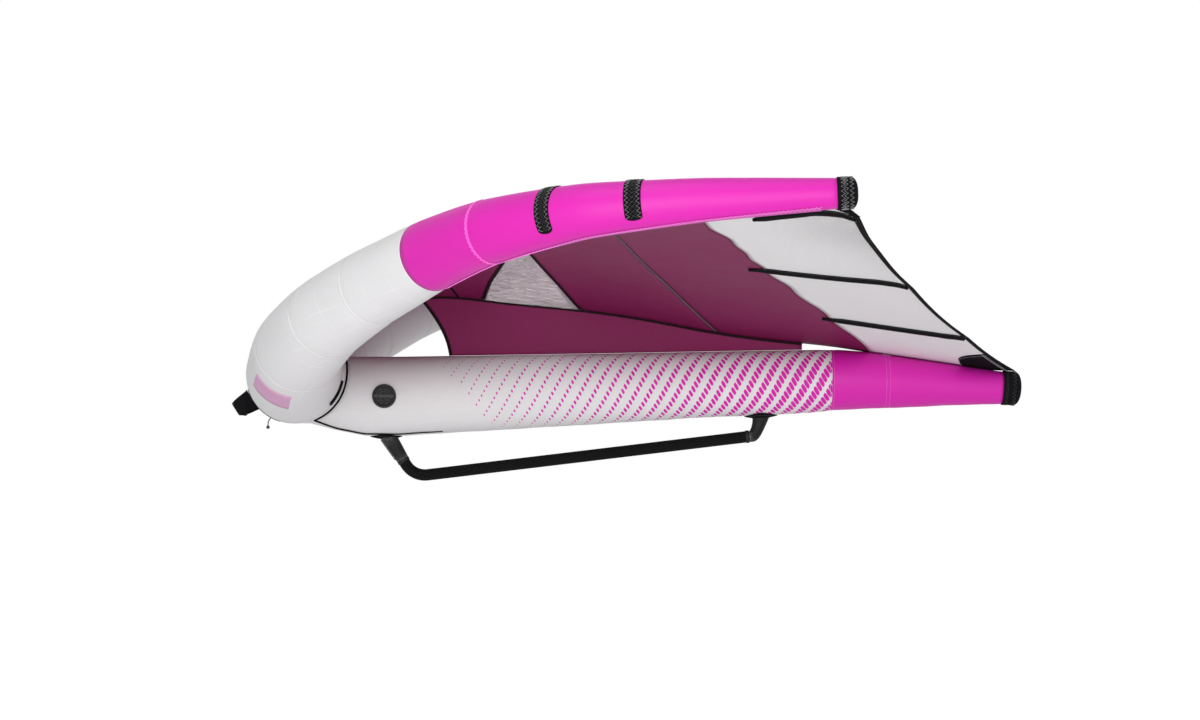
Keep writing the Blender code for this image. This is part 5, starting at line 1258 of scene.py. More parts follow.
def build_canopy(shop):
    canopy = shop.canopy
    places = np.linspace(0, 1, 161)
    wave = softened(cubic_through(*zip(*PRINT_EDGE))(places)[:, 0], 14)
    wave = tuple(zip(places.tolist(), wave.tolist()))
    point = WINDOW_FRONT[1]
    window = (point, *moved(WINDOW_FRONT[2:], CUT)), (point, *moved(WINDOW_REAR[2:], -CUT))
    panels = (
        ("front_panel", "canopy_front", level(0.0), moved(WINDOW_FRONT, -CUT), 61, 0.0, "canopy"),
        ("window_panel", "canopy_window", *window, 15, WINDOW_POINT, "window"),
        ("middle_panel", "canopy_middle", moved(WINDOW_REAR, CUT), moved(MIDDLE_REAR, -CUT), 19, 0.0, "canopy"),
        ("rear_panel", "canopy_rear", moved(MIDDLE_REAR, CUT), moved(wave, -CUT), 19, 0.0, "canopy"),
        ("tip_panel", "canopy_tip", moved(wave, CUT), level(TAPE_FRONT - CUT), 31, 0.0, "tip"),
    )
    for name, node, first, last, rows, begin, key in panels:
        points, uv = canopy_grid(shop, first, last, rows, begin=begin)
        mesh = face_out(grid(name, points, uv), toward=DOWN)
        if begin:
            welded(mesh)
        objs = shop.pair(name, mesh, key, node, wall=shop.cloth.canopy, wall_side=-1.0, sharp=80)
        declare_sheet(points)
    mesh = face_out(grid("tape", *canopy_grid(shop, level(TAPE_FRONT + CUT), level(1.0), 5, 121)), toward=DOWN)
    shop.pair("edge_tape", mesh, "tape", "trailing_edge_tape", wall=0.0018, wall_side=0.0, sharp=60)
    across = np.linspace(0.004, 0.990, 300)
    rows = [(share, 0.0, 0.0010) for share in (TAPE_FRONT + 0.0016, 0.9985)]
    rows += [(np.interp(across, *zip(*line)), offset, 0.0006)
             for line in (MIDDLE_REAR, wave) for offset in (-0.0014, 0.0014)]
    for share, offset, lift in rows:
        down = canopy.down(share, across)
        shop.sew_both("black_thread", canopy.point(share + offset, across) + down * lift, down)
    for name, seam, begin, half, key in SEAM_TAPES:
        reach = np.linspace(begin, 0.992, 80)
        line = np.stack([np.interp(reach, *zip(*seam)), reach], -1)
        shop.pair(name, canopy_strip(shop, name, line, half)[0], key, wall=0.0006)


def canopy_strip(shop, name, line, half, crown=0.0, taper=0.0):
    """A tape under the canopy along a line of (share, across): its mesh, its points and the ways down."""
    share, across = line[:, 0], line[:, 1]
    middle = shop.canopy.point(share, across)
    down = shop.canopy.down(share, across)
    side = unit(np.cross(unit(np.gradient(middle, axis=0)), down))
    t = np.linspace(0, 1, len(line))
    width = half * (np.clip(t / taper, 0.12, 1.0) if taper else np.ones_like(t))
    places = np.linspace(-1, 1, 7)
    points = np.stack([middle + side * (width * place)[:, None] + down * (0.0004 + crown * (1 - place ** 4))
                       for place in places], 1)
    uv = np.stack([np.repeat(reach_along(middle)[:, None], 7, 1), width[:, None] * places[None, :]], -1)
    return face_out(grid(name, points, uv), toward=DOWN), points, down


def build_battens(shop):
    wall = 0.0018
    t = np.linspace(0, 1, 30)[:, None]
    for name, start, end in BATTENS:
        line = np.array(start) * (1 - t) + np.array(end) * t
        mesh, points, down = canopy_strip(shop, name, line, 0.0200, crown=0.0048, taper=0.10)
        shop.pair(name, mesh, "webbing", name, wall=wall)
        for border in (0, -1):
            inside = points[:, border] * 0.94 + points[:, 3] * 0.06
            shop.sew_both("grey_thread", inside + down * (wall + 0.0002), down)


def build_corner_patches(shop):
    canopy = shop.canopy
    share = np.linspace(CORNER_EDGE[0][0], TAPE_FRONT - 0.0002, 22)[:, None]
    outer = np.interp(share, *zip(*CORNER_EDGE))
    inner = 1.0 - 0.006 / HALF_SPAN
    v = np.linspace(0, 1, 12)[None, :]
    across = outer * (1 - v) + inner * v
    share = share + 0 * across
    down = canopy.down(share, across)
    points = canopy.point(share, across) + down * 0.0006
    uv = np.stack([share * 3.0, across * HALF_SPAN], -1)
    mesh = face_out(grid("corner", points, uv), toward=DOWN)
    shop.pair("corner_webbing", mesh, "webbing", "corner_patch", wall=0.0010)
    stitched = points + down * 0.0014
    shop.sew_both("grey_thread", stitched[:, 1], down[:, 1])
    shop.sew_both("grey_thread", stitched[-2], down[-2], "zigzag")


def build_tip_webbing(shop):
    """The three-cornered tab that ties the canopy's corner to the tip cap."""
    edge, canopy = shop.edge, shop.canopy
    tip, along = edge.left[-1], edge.along[-1]
    toward = unit(canopy.corner - tip)
    high = tip + unit(toward - along * (toward @ along)) * (edge.radius[-1] + 0.0032)
    corner = canopy.corner - toward * 0.0035 - np.array((0, 0, 0.0016))
    t = np.linspace(0, 1, 9)[:, None, None]
    half = 0.0180 * (1 - t) + 0.0045 * t
    points = high * (1 - t) + corner * t + along * half * np.linspace(-1, 1, 7)[None, :, None]
    mesh = grid("tab", points, flat_map(np.linspace(0, 0.05, 9), np.linspace(0, 0.02, 7)))
    shop.pair("tip_tab", mesh, "webbing", "tip_webbing", wall=0.0015, wall_side=0.0)


def build_profile_panel(shop):
    """The upright panel between the strut and the canopy, with its taped edges."""
    strut = shop.strut
    line = shop.canopy.center(np.linspace(0.3, 0.9, 500))
    curve = np.array(PANEL_CURVE)
    t = np.linspace(0, 1, 25)[:, None]
    forward = cubic_through(1 - curve[:, 1], curve[:, 0])(1 - t[:, 0])
    front_x = PANEL_FRONT_TOP + (PANEL_FRONT_FOOT - PANEL_FRONT_TOP) * forward
    s = np.linspace(0, 1, 90)[None, :]
    x = front_x * (1 - s) + PANEL_REAR * s
    low = np.where(x < PANEL_FRONT_FOOT, strut.top(PANEL_FRONT_FOOT, 0.0006), strut.top(x, 0.0006))
    high = np.interp(x, line[:, 0], line[:, 2]) + 0.0006
    z = low * (1 - t) + high * t
    belly = 0.0012 * np.sin(x * 14 + z * 20) * np.sin(np.pi * np.clip(s, 0, 1)) * np.sin(np.pi * t)
    points = np.stack([x, belly, z], -1)
    mesh = face_out(grid("panel", points, np.stack([z, x], -1)), toward=-SIDEWAYS)
    panel = shop.piece("upright_panel", mesh, "canopy", "profile_panel", wall=0.0012, wall_side=0.0, sharp=80)
    declare_sheet(points)
    for side, label in ((-1, "left"), (1, "right")):
        for place, xs, zs, inward, width in (("front", x[::-1, 0], z[::-1, 0], (0.9, 0, -0.3), 0.009),
                                             ("top", x[-1], z[-1], DOWN, 0.006)):
            border = np.stack([xs, 0 * xs + side * 0.0010, zs], -1)
            panel_tape(shop, f"panel_{place}_tape_{label}", border, inward, width, side)


def panel_tape(shop, name, line, inward, width, side):
    """A flat tape on one face of the upright panel, along one of its edges."""
    ahead = unit(np.gradient(line, axis=0))
    inward = np.array(inward, float)
    inward = unit(inward - ahead * (ahead @ inward)[:, None])
    out = SIDEWAYS * side
    places = np.linspace(0, 1, 4)
    points = np.stack([line + inward * width * place + out * 0.0003 for place in places], 1)
    mesh = face_out(grid(name, points, flat_map(reach_along(line), places * width)), toward=out)
    shop.piece(name, mesh, "dark_tape", wall=0.0008)
    for place in (0.15, 0.85):
        shop.sew("black_thread", line + inward * width * place + out * 0.0013, np.broadcast_to(out, line.shape))


# Seam of strut and leading edge

def build_piping(shop):
    edge, strut = shop.edge, shop.strut
    stand = 0.0022
    angle = np.linspace(100, 238, 60)
    x = strut.junction(angle, edge, stand)
    aft = np.linspace(x[-1] + 0.012, 0.527, 40)
    drift = np.interp(aft, (aft[0], aft[0] + 0.05), (240, 249))
    line = np.concatenate([strut.skin(x, angle, stand), strut.skin(aft, drift, stand)])
    thick = np.concatenate([np.full(len(x), 0.0027), np.linspace(0.0024, 0.0014, len(aft))])
    shop.pair("seam_piping", tube("piping", line, thick, 12), "webbing", "junction_piping", sharp=70)
    shop.sew_both("pale_thread", strut.skin(x + 0.009, angle, 0.0004), strut.out(x, angle))


def build_zip(shop):
    """A short zip in the leading edge beside the strut, with a bound slot."""
    edge = shop.edge
    low, high = ZIP_ARC
    angle = np.linspace(low, high, 24)
    t = (angle - low) / (high - low)
    half = (ZIP_HALF * np.sqrt(np.clip(1 - (t * 0.97) ** 2.2, 0.02, 1)) / edge.length)[:, None]
    across = np.linspace(-1, 1, 9)[None, :]
    crown = 0.0050 * (1 - across ** 2)
    mesh = edge.sheet("zip", ZIP_SHARE + half * across, angle[:, None], 0.0004 + crown, 0.13)
    shop.piece("bladder_zip", mesh, "webbing", "access_zip", wall=0.0010)
    for sign in (-1, 1):
        at = ZIP_SHARE + sign * (half[:, 0] + 0.0022 / edge.length)
        shop.sew_edge("dark_thread", at, angle, 0.0006, both=False)


def build_edge_seam(shop):
    """The canopy's attachment strip along both arms, with its zigzag stitches."""
    edge = shop.edge
    share = np.linspace(0.02, 0.985, 330)
    angle = canopy_angle(share)
    for shift, kind in ((-3.0, "row"), (-6.0, "zigzag")):
        arc = angle + shift * ARM_RADIUS / np.interp(share, edge.share, edge.radius)
        shop.sew_edge("pale_thread", share, arc, 0.0003, kind)
    # The flap under each arm is real cloth; its paler colour is painted light, standing for the light that shines
    # through and reflects along the tube's lower edge.
    share = np.linspace(PINK_SHARE + 0.012, 0.982, 200)
    low = np.interp(share, *zip(*FLAP_EDGE))
    t = np.linspace(0, 1, 25)[None, :]
    arc = low[:, None] * (1 - t) + FLAP_TOP * t
    mesh = edge.sheet("flap", share[:, None], arc, 0.0011, ARM_RADIUS)
    shop.pair("seam_flap", mesh, "flap", wall=TAPE_WALL)
    shop.sew_edge("pink_thread", share, low + 3.0, 0.0018, "bold")


# Handle

def build_handle(shop):
    edge = shop.edge
    angle = np.linspace(*PATCH_ARC, 31)
    corner = 1 - np.clip((np.abs(angle - 225) - 20) / 7.0, 0, 1) ** 2 * 0.16
    share = PATCH_SHARE * np.linspace(-1, 1, 61)[None, :] * corner[:, None]
    mesh = edge.sheet("patch", share, angle[:, None], 0.0005, NOSE_RADIUS)
    shop.piece("nose_patch", mesh, "webbing", "front_patch", wall=0.0022)
    for row in (1, -2):
        shop.sew_edge("grey_thread", share[row], angle[row], 0.0030, both=False)
    for col in (2, -3):
        shop.sew_edge("grey_thread", share[:, col], angle, 0.0030, both=False)
    turn = math.radians(HANDLE_ANGLE)
    out = np.array((math.cos(turn), 0.0, math.sin(turn)))
    across = np.array((-out[2], 0.0, out[0]))
    center = edge.left[0]

    def seat(y):
        """How far the patch stands out from the tube's middle at this distance from the centre plane."""
        at = np.interp(abs(y), -edge.left[:, 1], edge.share)
        return float((edge.skin(at, HANDLE_ANGLE, 0.0028) - center) @ out)

    high = seat(0.0) + HANDLE_HEIGHT - 0.0035
    half, foot, bend = HANDLE_HALF, HANDLE_FOOT, 0.022
    profile = [(half + foot, seat(half + foot)), (half + 0.004, seat(half + 0.004)), (half - 0.002, seat(half) + 0.008)]
    profile += [(half - bend + bend * math.cos(a), high - bend + bend * math.sin(a))
                for a in np.linspace(0.1, math.pi / 2, 8)]
    profile = np.array(rounded(profile, 0.006))
    path = np.concatenate([profile * (-1, 1), profile[::-1]])
    places = np.linspace(-1, 1, 9)
    crown = 0.0006 * (1 - places ** 4)
    slim = 1 - 0.30 * np.clip((path[:, 1:] - path[0, 1]) / (high - path[0, 1]), 0, 1) ** 2
    points = np.stack([center + SIDEWAYS * path[:, :1] + out * (path[:, 1:] + crown[k])
                       + across * place * slim * HANDLE_WIDTH / 2 for k, place in enumerate(places)], 1)
    mesh = grid("strap", points, flat_map(reach_along(path), places * HANDLE_WIDTH / 2))
    face_out(mesh, inside=center + out * 0.1)
    shop.piece("nose_handle", mesh, "webbing", "front_handle_strap", wall=0.0032)
    for place in (1, 7):
        line = (points[:, place] + out * 0.0036)[14:-14]
        shop.sew("grey_thread", line, np.broadcast_to(out, line.shape))
    pad = bpy.data.meshes.new("pad")
    with editing(pad) as shape:
        bmesh.ops.create_cube(shape, size=1.0)
        bmesh.ops.subdivide_edges(shape, edges=shape.edges, cuts=5, use_grid_fill=True)
        for vert in shape.verts:
            x, y, z = vert.co * 2
            fade = 1 - 0.16 * abs(x) ** 6
            vert.co = ((0.0055 * x) * (1 - 0.25 * y ** 4) * (1 - 0.2 * z ** 6), 0.055 * y * (1 - 0.05 * z * z) * fade,
                       0.0250 * z * (1 - 0.06 * y * y) * fade)
    aimed(pad, center + out * (high - 0.0065), out)
    shop.piece("handle_pad", pad, "foam", "front_handle_pad", soft=1)


def knot_mesh(radius):
    """A ball with shallow slanting dents."""
    rings, sides = 16, 24
    rise = np.linspace(-np.pi / 2, np.pi / 2, rings + 1)[:, None]
    turn = np.linspace(0, 2 * np.pi, sides, endpoint=False)[None, :]
    wave = 3 * rise + 2 * turn
    wave[[0, -1]] = 3 * rise[[0, -1]]
    reach = radius * (1 - 0.10 * (0.5 + 0.5 * np.sin(wave)) ** 2)
    flat = reach * np.cos(rise)
    points = np.stack([flat * np.cos(turn), flat * np.sin(turn), reach * np.sin(rise)], -1)
    return face_out(welded(grid("knot", points, wrap=True), 0.000005), inside=(0, 0, 0))


def build_tag(shop):
    route = np.array(TAG_ROUTE)
    reach = reach_along(route)
    line = cubic_through(reach, route)(np.linspace(0, reach[-1], 60))
    cord = shop.piece("tag_cord", tube("tag", line, 0.0015, 12), "cord", "tag_line", sharp=80)
    knot = knot_mesh(0.0050)
    knot.transform(Matrix.Translation(Vector(line[-1] + unit(line[-1] - line[-2]) * 0.0053)))
    knot = shop.piece("tag_stopper", knot, "cord", "tag_knot", sharp=80)


# Boom

def boom_line(bend_points=20):
    """The boom's axis: down from the front fitting, round the bend and aft."""
    top, corner, end = (np.array(p) for p in (BOOM_TOP, BOOM_CORNER, BOOM_END))
    down, aft = unit(top - corner), unit(end - corner)
    half = math.acos(float(down @ aft)) / 2
    setback = BOOM_BEND / math.tan(half)
    middle = corner + unit(down + aft) * (BOOM_BEND / math.sin(half))
    arm, last = Vector(corner + down * setback - middle), Vector(corner + aft * setback - middle)
    turn, axis = last.angle(arm), arm.cross(last).normalized()
    bend = [np.array(Vector(middle) + Matrix.Rotation(turn * k / (bend_points - 1), 3, axis) @ arm)
            for k in range(bend_points)]
    return np.array([top, *bend, end]), down, aft


def resampled(points, step):
    reach = reach_along(points)
    count = max(2, int(round(reach[-1] / step)) + 1)
    return table_at(np.linspace(0, reach[-1], count), reach, points)


def build_boom(shop):
    line, down, aft = boom_line()
    mouth = line[0] - down * SOCKET_DEPTH
    grip = resampled(np.concatenate([[mouth - down * 0.0004], line[1:-1], [line[-1] - aft * 0.0006]]), 0.006)
    shop.piece("boom_foam_grip", tube("grip", grip, GRIP_RADIUS, 48), "foam", "boom_grip", sharp=60)
    outline = rounded([(-0.0035, 0.0150), (-0.0035, 0.0172), (0.0045, 0.0172), (0.0060, 0.0150)], 0.001)
    collars = [aimed(turned("collar", outline, 48), center, way, up=Vector(SIDEWAYS))
               for center, way in ((mouth - down * 0.004, -down), (line[-1] - aft * 0.006, -aft))]
    shop.piece("boom_grip_collars", joined("collars", collars), "plastic")
    build_front_bracket(shop, line, down, mouth)
    build_rear_bracket(shop, line, aft)
    for key, names in BARE_SOLIDS.items():
        for name in names:
            dress_node(name, shop.material(key))


def dress_node(name, material):
    """Gives one of the frame's own solids its finish."""
    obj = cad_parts[name]
    obj.data.materials.clear()
    obj.data.materials.append(material)


def loft(name, sections):
    """A closed skin through sections of points, each with the same count."""
    points = np.array(sections)
    cols = points.shape[1]
    uv = flat_map(reach_along(points[:, 0]), np.linspace(0, 0.12, cols + 1))
    return closed(grid(name, points, uv, wrap=True), cols)


def oval(center, a, b, half_a, half_b, power=2.0, sides=48):
    """A section: an oval or a rounded rectangle across two directions."""
    turn = np.linspace(0, 2 * np.pi, sides, endpoint=False)[:, None]
    c, s = np.cos(turn), np.sin(turn)
    return (center + a * half_a * np.sign(c) * np.abs(c) ** (2 / power)
            + b * half_b * np.sign(s) * np.abs(s) ** (2 / power))


def build_front_bracket(shop, line, down, mouth):
    aft = np.array((down[2], 0.0, -down[0]))
    aft = aft if aft[0] > 0 else -aft
    top = line[0] + down * 0.031
    body = loft("bracket", [oval(top * (1 - t) + mouth * t, aft, SIDEWAYS, half_aft, half_side, power)
                            for t, half_aft, half_side, power in BRACKET_RINGS])
    shop.piece("boom_front_bracket", body, "fitting", "boom_front_fitting", sharp=50)
    # A thin pale grey strip down the bracket's front edge, in the grey valve rim finish.
    rib = loft("rib", [oval((top * (1 - t) + mouth * t) - aft * (0.0222 - 0.0050 * t), aft, SIDEWAYS, 0.0022,
                            0.0042 - 0.0016 * t, 2.0, 12) for t in np.linspace(0.06, 0.90, 12)])
    shop.piece("boom_bracket_pale_strip", rib, "rim", slot="grey_plastic", sharp=60)
    saddle(shop, "front_saddle", "boom_front_saddle", *FRONT_SADDLE)


def build_rear_bracket(shop, line, aft):
    end = line[-1]
    top_x = end[0] + 0.029
    top = np.array((top_x, 0.0, float(shop.strut.skin(top_x, 270.0)[2])))
    start = end + aft * 0.0004
    reach = (top[2] - start[2]) / 2
    collar = start + aft * 0.006
    t = np.linspace(0, 1, 20)[:, None]
    lower, upper = collar + aft * reach * 0.35, top - np.array(UP) * reach * 0.55
    bend = collar * (1 - t) ** 3 + lower * 3 * t * (1 - t) ** 2 + upper * 3 * t * t * (1 - t) + top * t ** 3
    points = np.concatenate([[start], bend])
    sections = []
    for s, point, way in zip(np.linspace(0, 1, len(points)), points, unit(np.gradient(points, axis=0))):
        sections.append(oval(point, SIDEWAYS, np.cross(way, SIDEWAYS), 0.0158 + 0.006 * s ** 3, 0.0158 + 0.010 * s ** 3,
                             2.0 + 0.3 * s))
    shop.piece("boom_rear_bracket", loft("neck", sections), "fitting", "boom_rear_fitting", sharp=50)
    saddle(shop, "rear_saddle", "boom_rear_saddle", *REAR_SADDLE)


def saddle(shop, name, node, station, half_length, half_width):
    """A lens-shaped pad under the strut, pointed at its ends, with a row of stitches inside its border."""
    strut = shop.strut
    wall, high, seam = 0.0022, 0.0075, 0.86
    t = np.linspace(-1, 1, 41)[:, None]
    reach = np.maximum(half_width * (1 - np.abs(t) ** 1.7) ** 0.8, 0.0012)
    x = station + half_length * t
    radius = np.interp(x, strut.x, strut.radius)
    v = np.linspace(-1, 1, 17)[None, :]
    fade = 1 - np.abs(t) ** 1.5
    angle = 270 + np.degrees(reach * v / radius)
    points = strut.skin(x, angle, 0.0004 + high * (1 - v ** 4) * fade)
    uv = np.stack([x + 0 * angle, reach * v], -1)
    mesh = face_out(grid(name, points, uv), toward=DOWN)
    shop.piece(name, mesh, "webbing", node, wall=wall, sharp=60)
    lift = wall + 0.0006 + high * (1 - seam ** 4) * fade
    for sign in (-1, 1):
        angle = 270 + np.degrees(reach * seam * sign / radius)
        shop.sew_strut("dark_thread", x[2:-2, 0], angle[2:-2, 0], lift[2:-2, 0])


# Valve

def build_valve(shop):
    strut = shop.strut
    seat = strut.middle(np.array(VALVE_STATION))
    seat[1] = -np.interp(VALVE_STATION, strut.x, strut.radius) - 0.0008
    flange = 0.0325
    base = [(-0.030, 0.012), (-0.030, 0.021), (-0.0068, 0.021), (-0.0068, flange - 0.001), (-0.0050, flange),
            (0.0016, flange), (0.0030, flange - 0.0016), (0.0030, 0.0170), (-0.027, 0.0170), (-0.027, 0.012)]
    body = turned("base", rounded(base + [base[0]], 0.0008), 72)
    shop.piece("valve_body", aimed(body, seat, -SIDEWAYS), "rim", "valve_base", slot="black_plastic", sharp=40)
    low, high, rim = 0.0033, 0.0098, 0.031
    outline = [(low - 0.005, 0.0), (low - 0.005, 0.0166), (low, 0.0166), (low, rim - 0.0006), (low + 0.001, rim),
               (high - 0.0014, rim), (high, rim - 0.0014), (high, rim - 0.0052), (low + 0.003, rim - 0.0070),
               (low + 0.0026, 0.0)]
    bar = bar_mesh(0.0515, 0.0080, high - low - 0.0028)
    bar.transform(Matrix.Translation(((low + 0.0026 + high) / 2 - 0.0002, 0.0, 0.0)))
    parts = [turned("cap", rounded(outline, 0.0006), 72), bar]
    for reach, first in ((0.0135, 22), (0.0135, 202), (0.0205, 16), (0.0205, 196)):
        turn = np.radians(np.linspace(first, first + 180 - 2 * (first % 180), 25))
        arc = np.stack([np.full(25, low + 0.0032), reach * np.cos(turn), reach * np.sin(turn)], -1)
        parts.append(tube("rib", arc, 0.0011, 8))
    for k in range(36):
        tooth = bar_mesh(0.0012, 0.0018, 0.0045)
        place = Matrix.Translation(((low + high) / 2, 0.0, rim + 0.0001))
        tooth.transform(Matrix.Rotation(math.tau * k / 36, 4, "X") @ place)
        parts.append(tooth)
    cap = aimed(joined("cap", parts), seat, -SIDEWAYS)
    shop.piece("valve_twist_cap", cap, "cap", "valve_cap", body="valve_cap", sharp=35)


def bar_mesh(length, width, height):
    """A bar with bevelled edges: X is its height, Y its length and Z its width."""
    mesh = bpy.data.meshes.new("bar")
    with editing(mesh) as shape:
        bmesh.ops.create_cube(shape, size=1.0)
        bmesh.ops.scale(shape, vec=(height, length, width), verts=shape.verts)
        bevel = min(height, width, length) * 0.22
        bmesh.ops.bevel(shape, geom=shape.edges[:], offset=bevel, segments=2, affect="EDGES")
    return mesh


# Stitching

def guide_tree(name, sizes, sewn):
    """A node tree that lays thread along guide lines, from named sizes in metres."""
    found = bpy.data.node_groups.get(name)
    if found:
        return found
    tree = bpy.data.node_groups.new(name, "GeometryNodeTree")
    tree.interface.new_socket("Geometry", in_out="INPUT", socket_type="NodeSocketGeometry")
    for label, value in sizes.items():
        socket = tree.interface.new_socket(label, in_out="INPUT", socket_type="NodeSocketFloat")
        socket.subtype = "DISTANCE"
        socket.default_value = value
    tree.interface.new_socket("Material", in_out="INPUT", socket_type="NodeSocketMaterial")
    tree.interface.new_socket("Geometry", in_out="OUTPUT", socket_type="NodeSocketGeometry")
    g = Graph(tree)
    given = tree.nodes.new("NodeGroupInput").outputs
    line = g.node("GeometryNodeMeshToCurve", {"Mesh": given["Geometry"]}).outputs[0]
    line = g.node("GeometryNodeResampleCurve", {"Curve": line, "Length": given["Pitch"]}, mode="LENGTH").outputs[0]
    tangent = g.node("GeometryNodeInputTangent").outputs[0]
    outward = g.node("GeometryNodeInputNamedAttribute", {"Name": "outward"}, data_type="FLOAT_VECTOR").outputs[0]
    solid = sewn(g, given, line, tangent, outward)
    real = g.node("GeometryNodeRealizeInstances", {"Geometry": solid}).outputs[0]
    real = g.node("GeometryNodeSetMaterial", {"Geometry": real, "Material": given["Material"]}).outputs[0]
    g.put(tree.nodes.new("NodeGroupOutput").inputs[0], real)
    return tree


def stitch_tree():
    """Separate stitches, laid end to end along guide lines."""
    def sewn(g, given, line, tangent, outward):
        turn = g.node("FunctionNodeAlignRotationToVector", {"Vector": tangent}, axis="X").outputs[0]
        turn = g.node("FunctionNodeAlignRotationToVector", {"Rotation": turn, "Vector": outward}, axis="Z",
                      pivot_axis="X").outputs[0]
        seed = g.node("GeometryNodeMeshUVSphere", {"Segments": 6, "Rings": 4, "Radius": 0.5}).outputs[0]
        size = g.node("ShaderNodeCombineXYZ",
                      {"X": given["Length"], "Y": given["Thread"], "Z": given["Thread"]}).outputs[0]
        return g.node("GeometryNodeInstanceOnPoints",
                      {"Points": line, "Instance": seed, "Rotation": turn, "Scale": size}).outputs[0]
    return guide_tree("Stitch Rows", {"Pitch": 0.005, "Length": 0.0038, "Thread": 0.001}, sewn)


def zigzag_tree():
    """One thread that runs from side to side along guide lines."""
    def sewn(g, given, line, tangent, outward):
        side = g.node("ShaderNodeVectorMath", {0: tangent, 1: outward}, operation="CROSS_PRODUCT").outputs[0]
        swing = g.sub(g.math("MODULO", g.node("GeometryNodeInputIndex").outputs[0], 2.0), 0.5)
        offset = g.scaled(side, g.mul(swing, given["Width"]))
        line = g.node("GeometryNodeSetPosition", {"Geometry": line, "Offset": offset}).outputs[0]
        ring = g.node("GeometryNodeCurvePrimitiveCircle",
                      {"Resolution": 5, "Radius": g.mul(given["Thread"], 0.5)}).outputs[0]
        return g.node("GeometryNodeCurveToMesh", {"Curve": line, "Profile Curve": ring, "Fill Caps": True}).outputs[0]
    return guide_tree("Zigzag Rows", {"Pitch": 0.005, "Width": 0.009, "Thread": 0.001}, sewn)


def guide_mesh(lines):
    """All guide lines as one mesh of edges, with the direction out of the cloth at each point."""
    verts, edges, outs = [], [], []
    for points, away in lines:
        start = len(verts)
        verts += points.tolist()
        outs.append(away)
        edges += [(start + k, start + k + 1) for k in range(len(points) - 1)]
    mesh = bpy.data.meshes.new("guide")
    mesh.from_pydata(verts, edges, [])
    outward = mesh.attributes.new("outward", "FLOAT_VECTOR", "POINT")
    outward.data.foreach_set("vector", np.concatenate(outs).astype(np.float32).ravel())
    return mesh


def build_stitching(shop):
    sizes = shop.seams
    for (color, kind), lines in sorted(shop.guides.items()):
        tree = stitch_tree() if kind == "row" else zigzag_tree()
        guide = bpy.data.objects.new("guide", guide_mesh(lines))
        bpy.context.scene.collection.objects.link(guide)
        nodes = guide.modifiers.new("stitches", "NODES")
        nodes.node_group = tree
        thick = sizes.thread * (sizes.bold if kind == "bold" else 1.0)
        values = {"Pitch": sizes.pitch, "Length": sizes.length, "Width": sizes.zigzag, "Thread": thick,
                  "Material": shop.material(color)}
        for item in tree.interface.items_tree:
            if item.item_type == "SOCKET" and item.in_out == "INPUT" and item.name in values:
                nodes[item.identifier] = values[item.name]
        bpy.context.view_layer.update()
        mesh = bpy.data.meshes.new_from_object(guide.evaluated_get(bpy.context.evaluated_depsgraph_get()))
        bpy.data.objects.remove(guide)
        if not mesh.polygons:
            raise RuntimeError(f"no stitches were made for {color} {kind}")
        label = {"row": "stitches", "zigzag": "zigzags", "bold": "bold_zigzags"}[kind]
        shop.piece(f"{color}_{label}", mesh, color, sharp=80)


# Stage

CAMERA_PLACE, CAMERA_UP, CAMERA_TURN = (-0.0225, -10.0385, 0.1022), 0.9, -0.41
LAMPS = (                                        # name, place, aim, size, share of the key power
    ("front lamp", (-1.2, -8.0, 0.6), (0.3, 0.0, 0.1), 4.0, 1.0),
    ("top lamp", (-0.8, -2.6, 4.8), (0.3, 0.0, 0.2), 2.4, 0.22),
    ("low lamp", (0.2, -4.6, -0.85), (0.4, 0.0, 0.3), 2.2, 0.22),
    ("back lamp", (0.8, 6.0, 2.6), (0.4, 0.0, 0.2), 3.5, 0.45),
)
FLOOR_REACH = 14.0


def build_stage(settings):
    scene = bpy.context.scene
    camera = bpy.data.cameras.new("camera")
    camera.lens, camera.sensor_width = settings.lens, 36.0
    camera.clip_start, camera.clip_end = 0.1, 200.0
    obj = bpy.data.objects.new("camera", camera)
    scene.collection.objects.link(obj)
    obj.location = CAMERA_PLACE
    obj.rotation_euler = (math.radians(90 + CAMERA_UP), 0.0, math.radians(CAMERA_TURN))
    scene.camera = obj
    world = bpy.data.worlds.new("even surround")
    scene.world = world
    world.use_nodes = True
    g = Graph(world.node_tree)
    background = world.node_tree.nodes["Background"]
    output = world.node_tree.nodes["World Output"]
    background.inputs["Color"].default_value = (0.97, 0.98, 1.0, 1.0)
    background.inputs["Strength"].default_value = settings.sky
    plain = g.node("ShaderNodeBackground", {"Color": (1.0, 1.0, 1.0, 1.0), "Strength": 1.0})
    rays = g.node("ShaderNodeLightPath").outputs
    indirect = g.math("MAXIMUM", rays["Is Glossy Ray"], rays["Is Transmission Ray"])
    seen = g.math("MAXIMUM", rays["Is Camera Ray"], indirect)
    both = g.node("ShaderNodeMixShader", {0: seen, 1: background.outputs[0], 2: plain.outputs[0]})
    g.put(output.inputs["Surface"], both.outputs[0])
    build_floor(settings)
    for name, place, aim, size, power in LAMPS:
        lamp = bpy.data.lights.new(name, "AREA")
        lamp.shape, lamp.size, lamp.energy = "DISK", size, settings.key * power
        obj = bpy.data.objects.new(name, lamp)
        scene.collection.objects.link(obj)
        obj.location = place
        obj.rotation_euler = (Vector(aim) - Vector(place)).to_track_quat("-Z", "Y").to_euler()
    scene.view_settings.view_transform = "Standard"


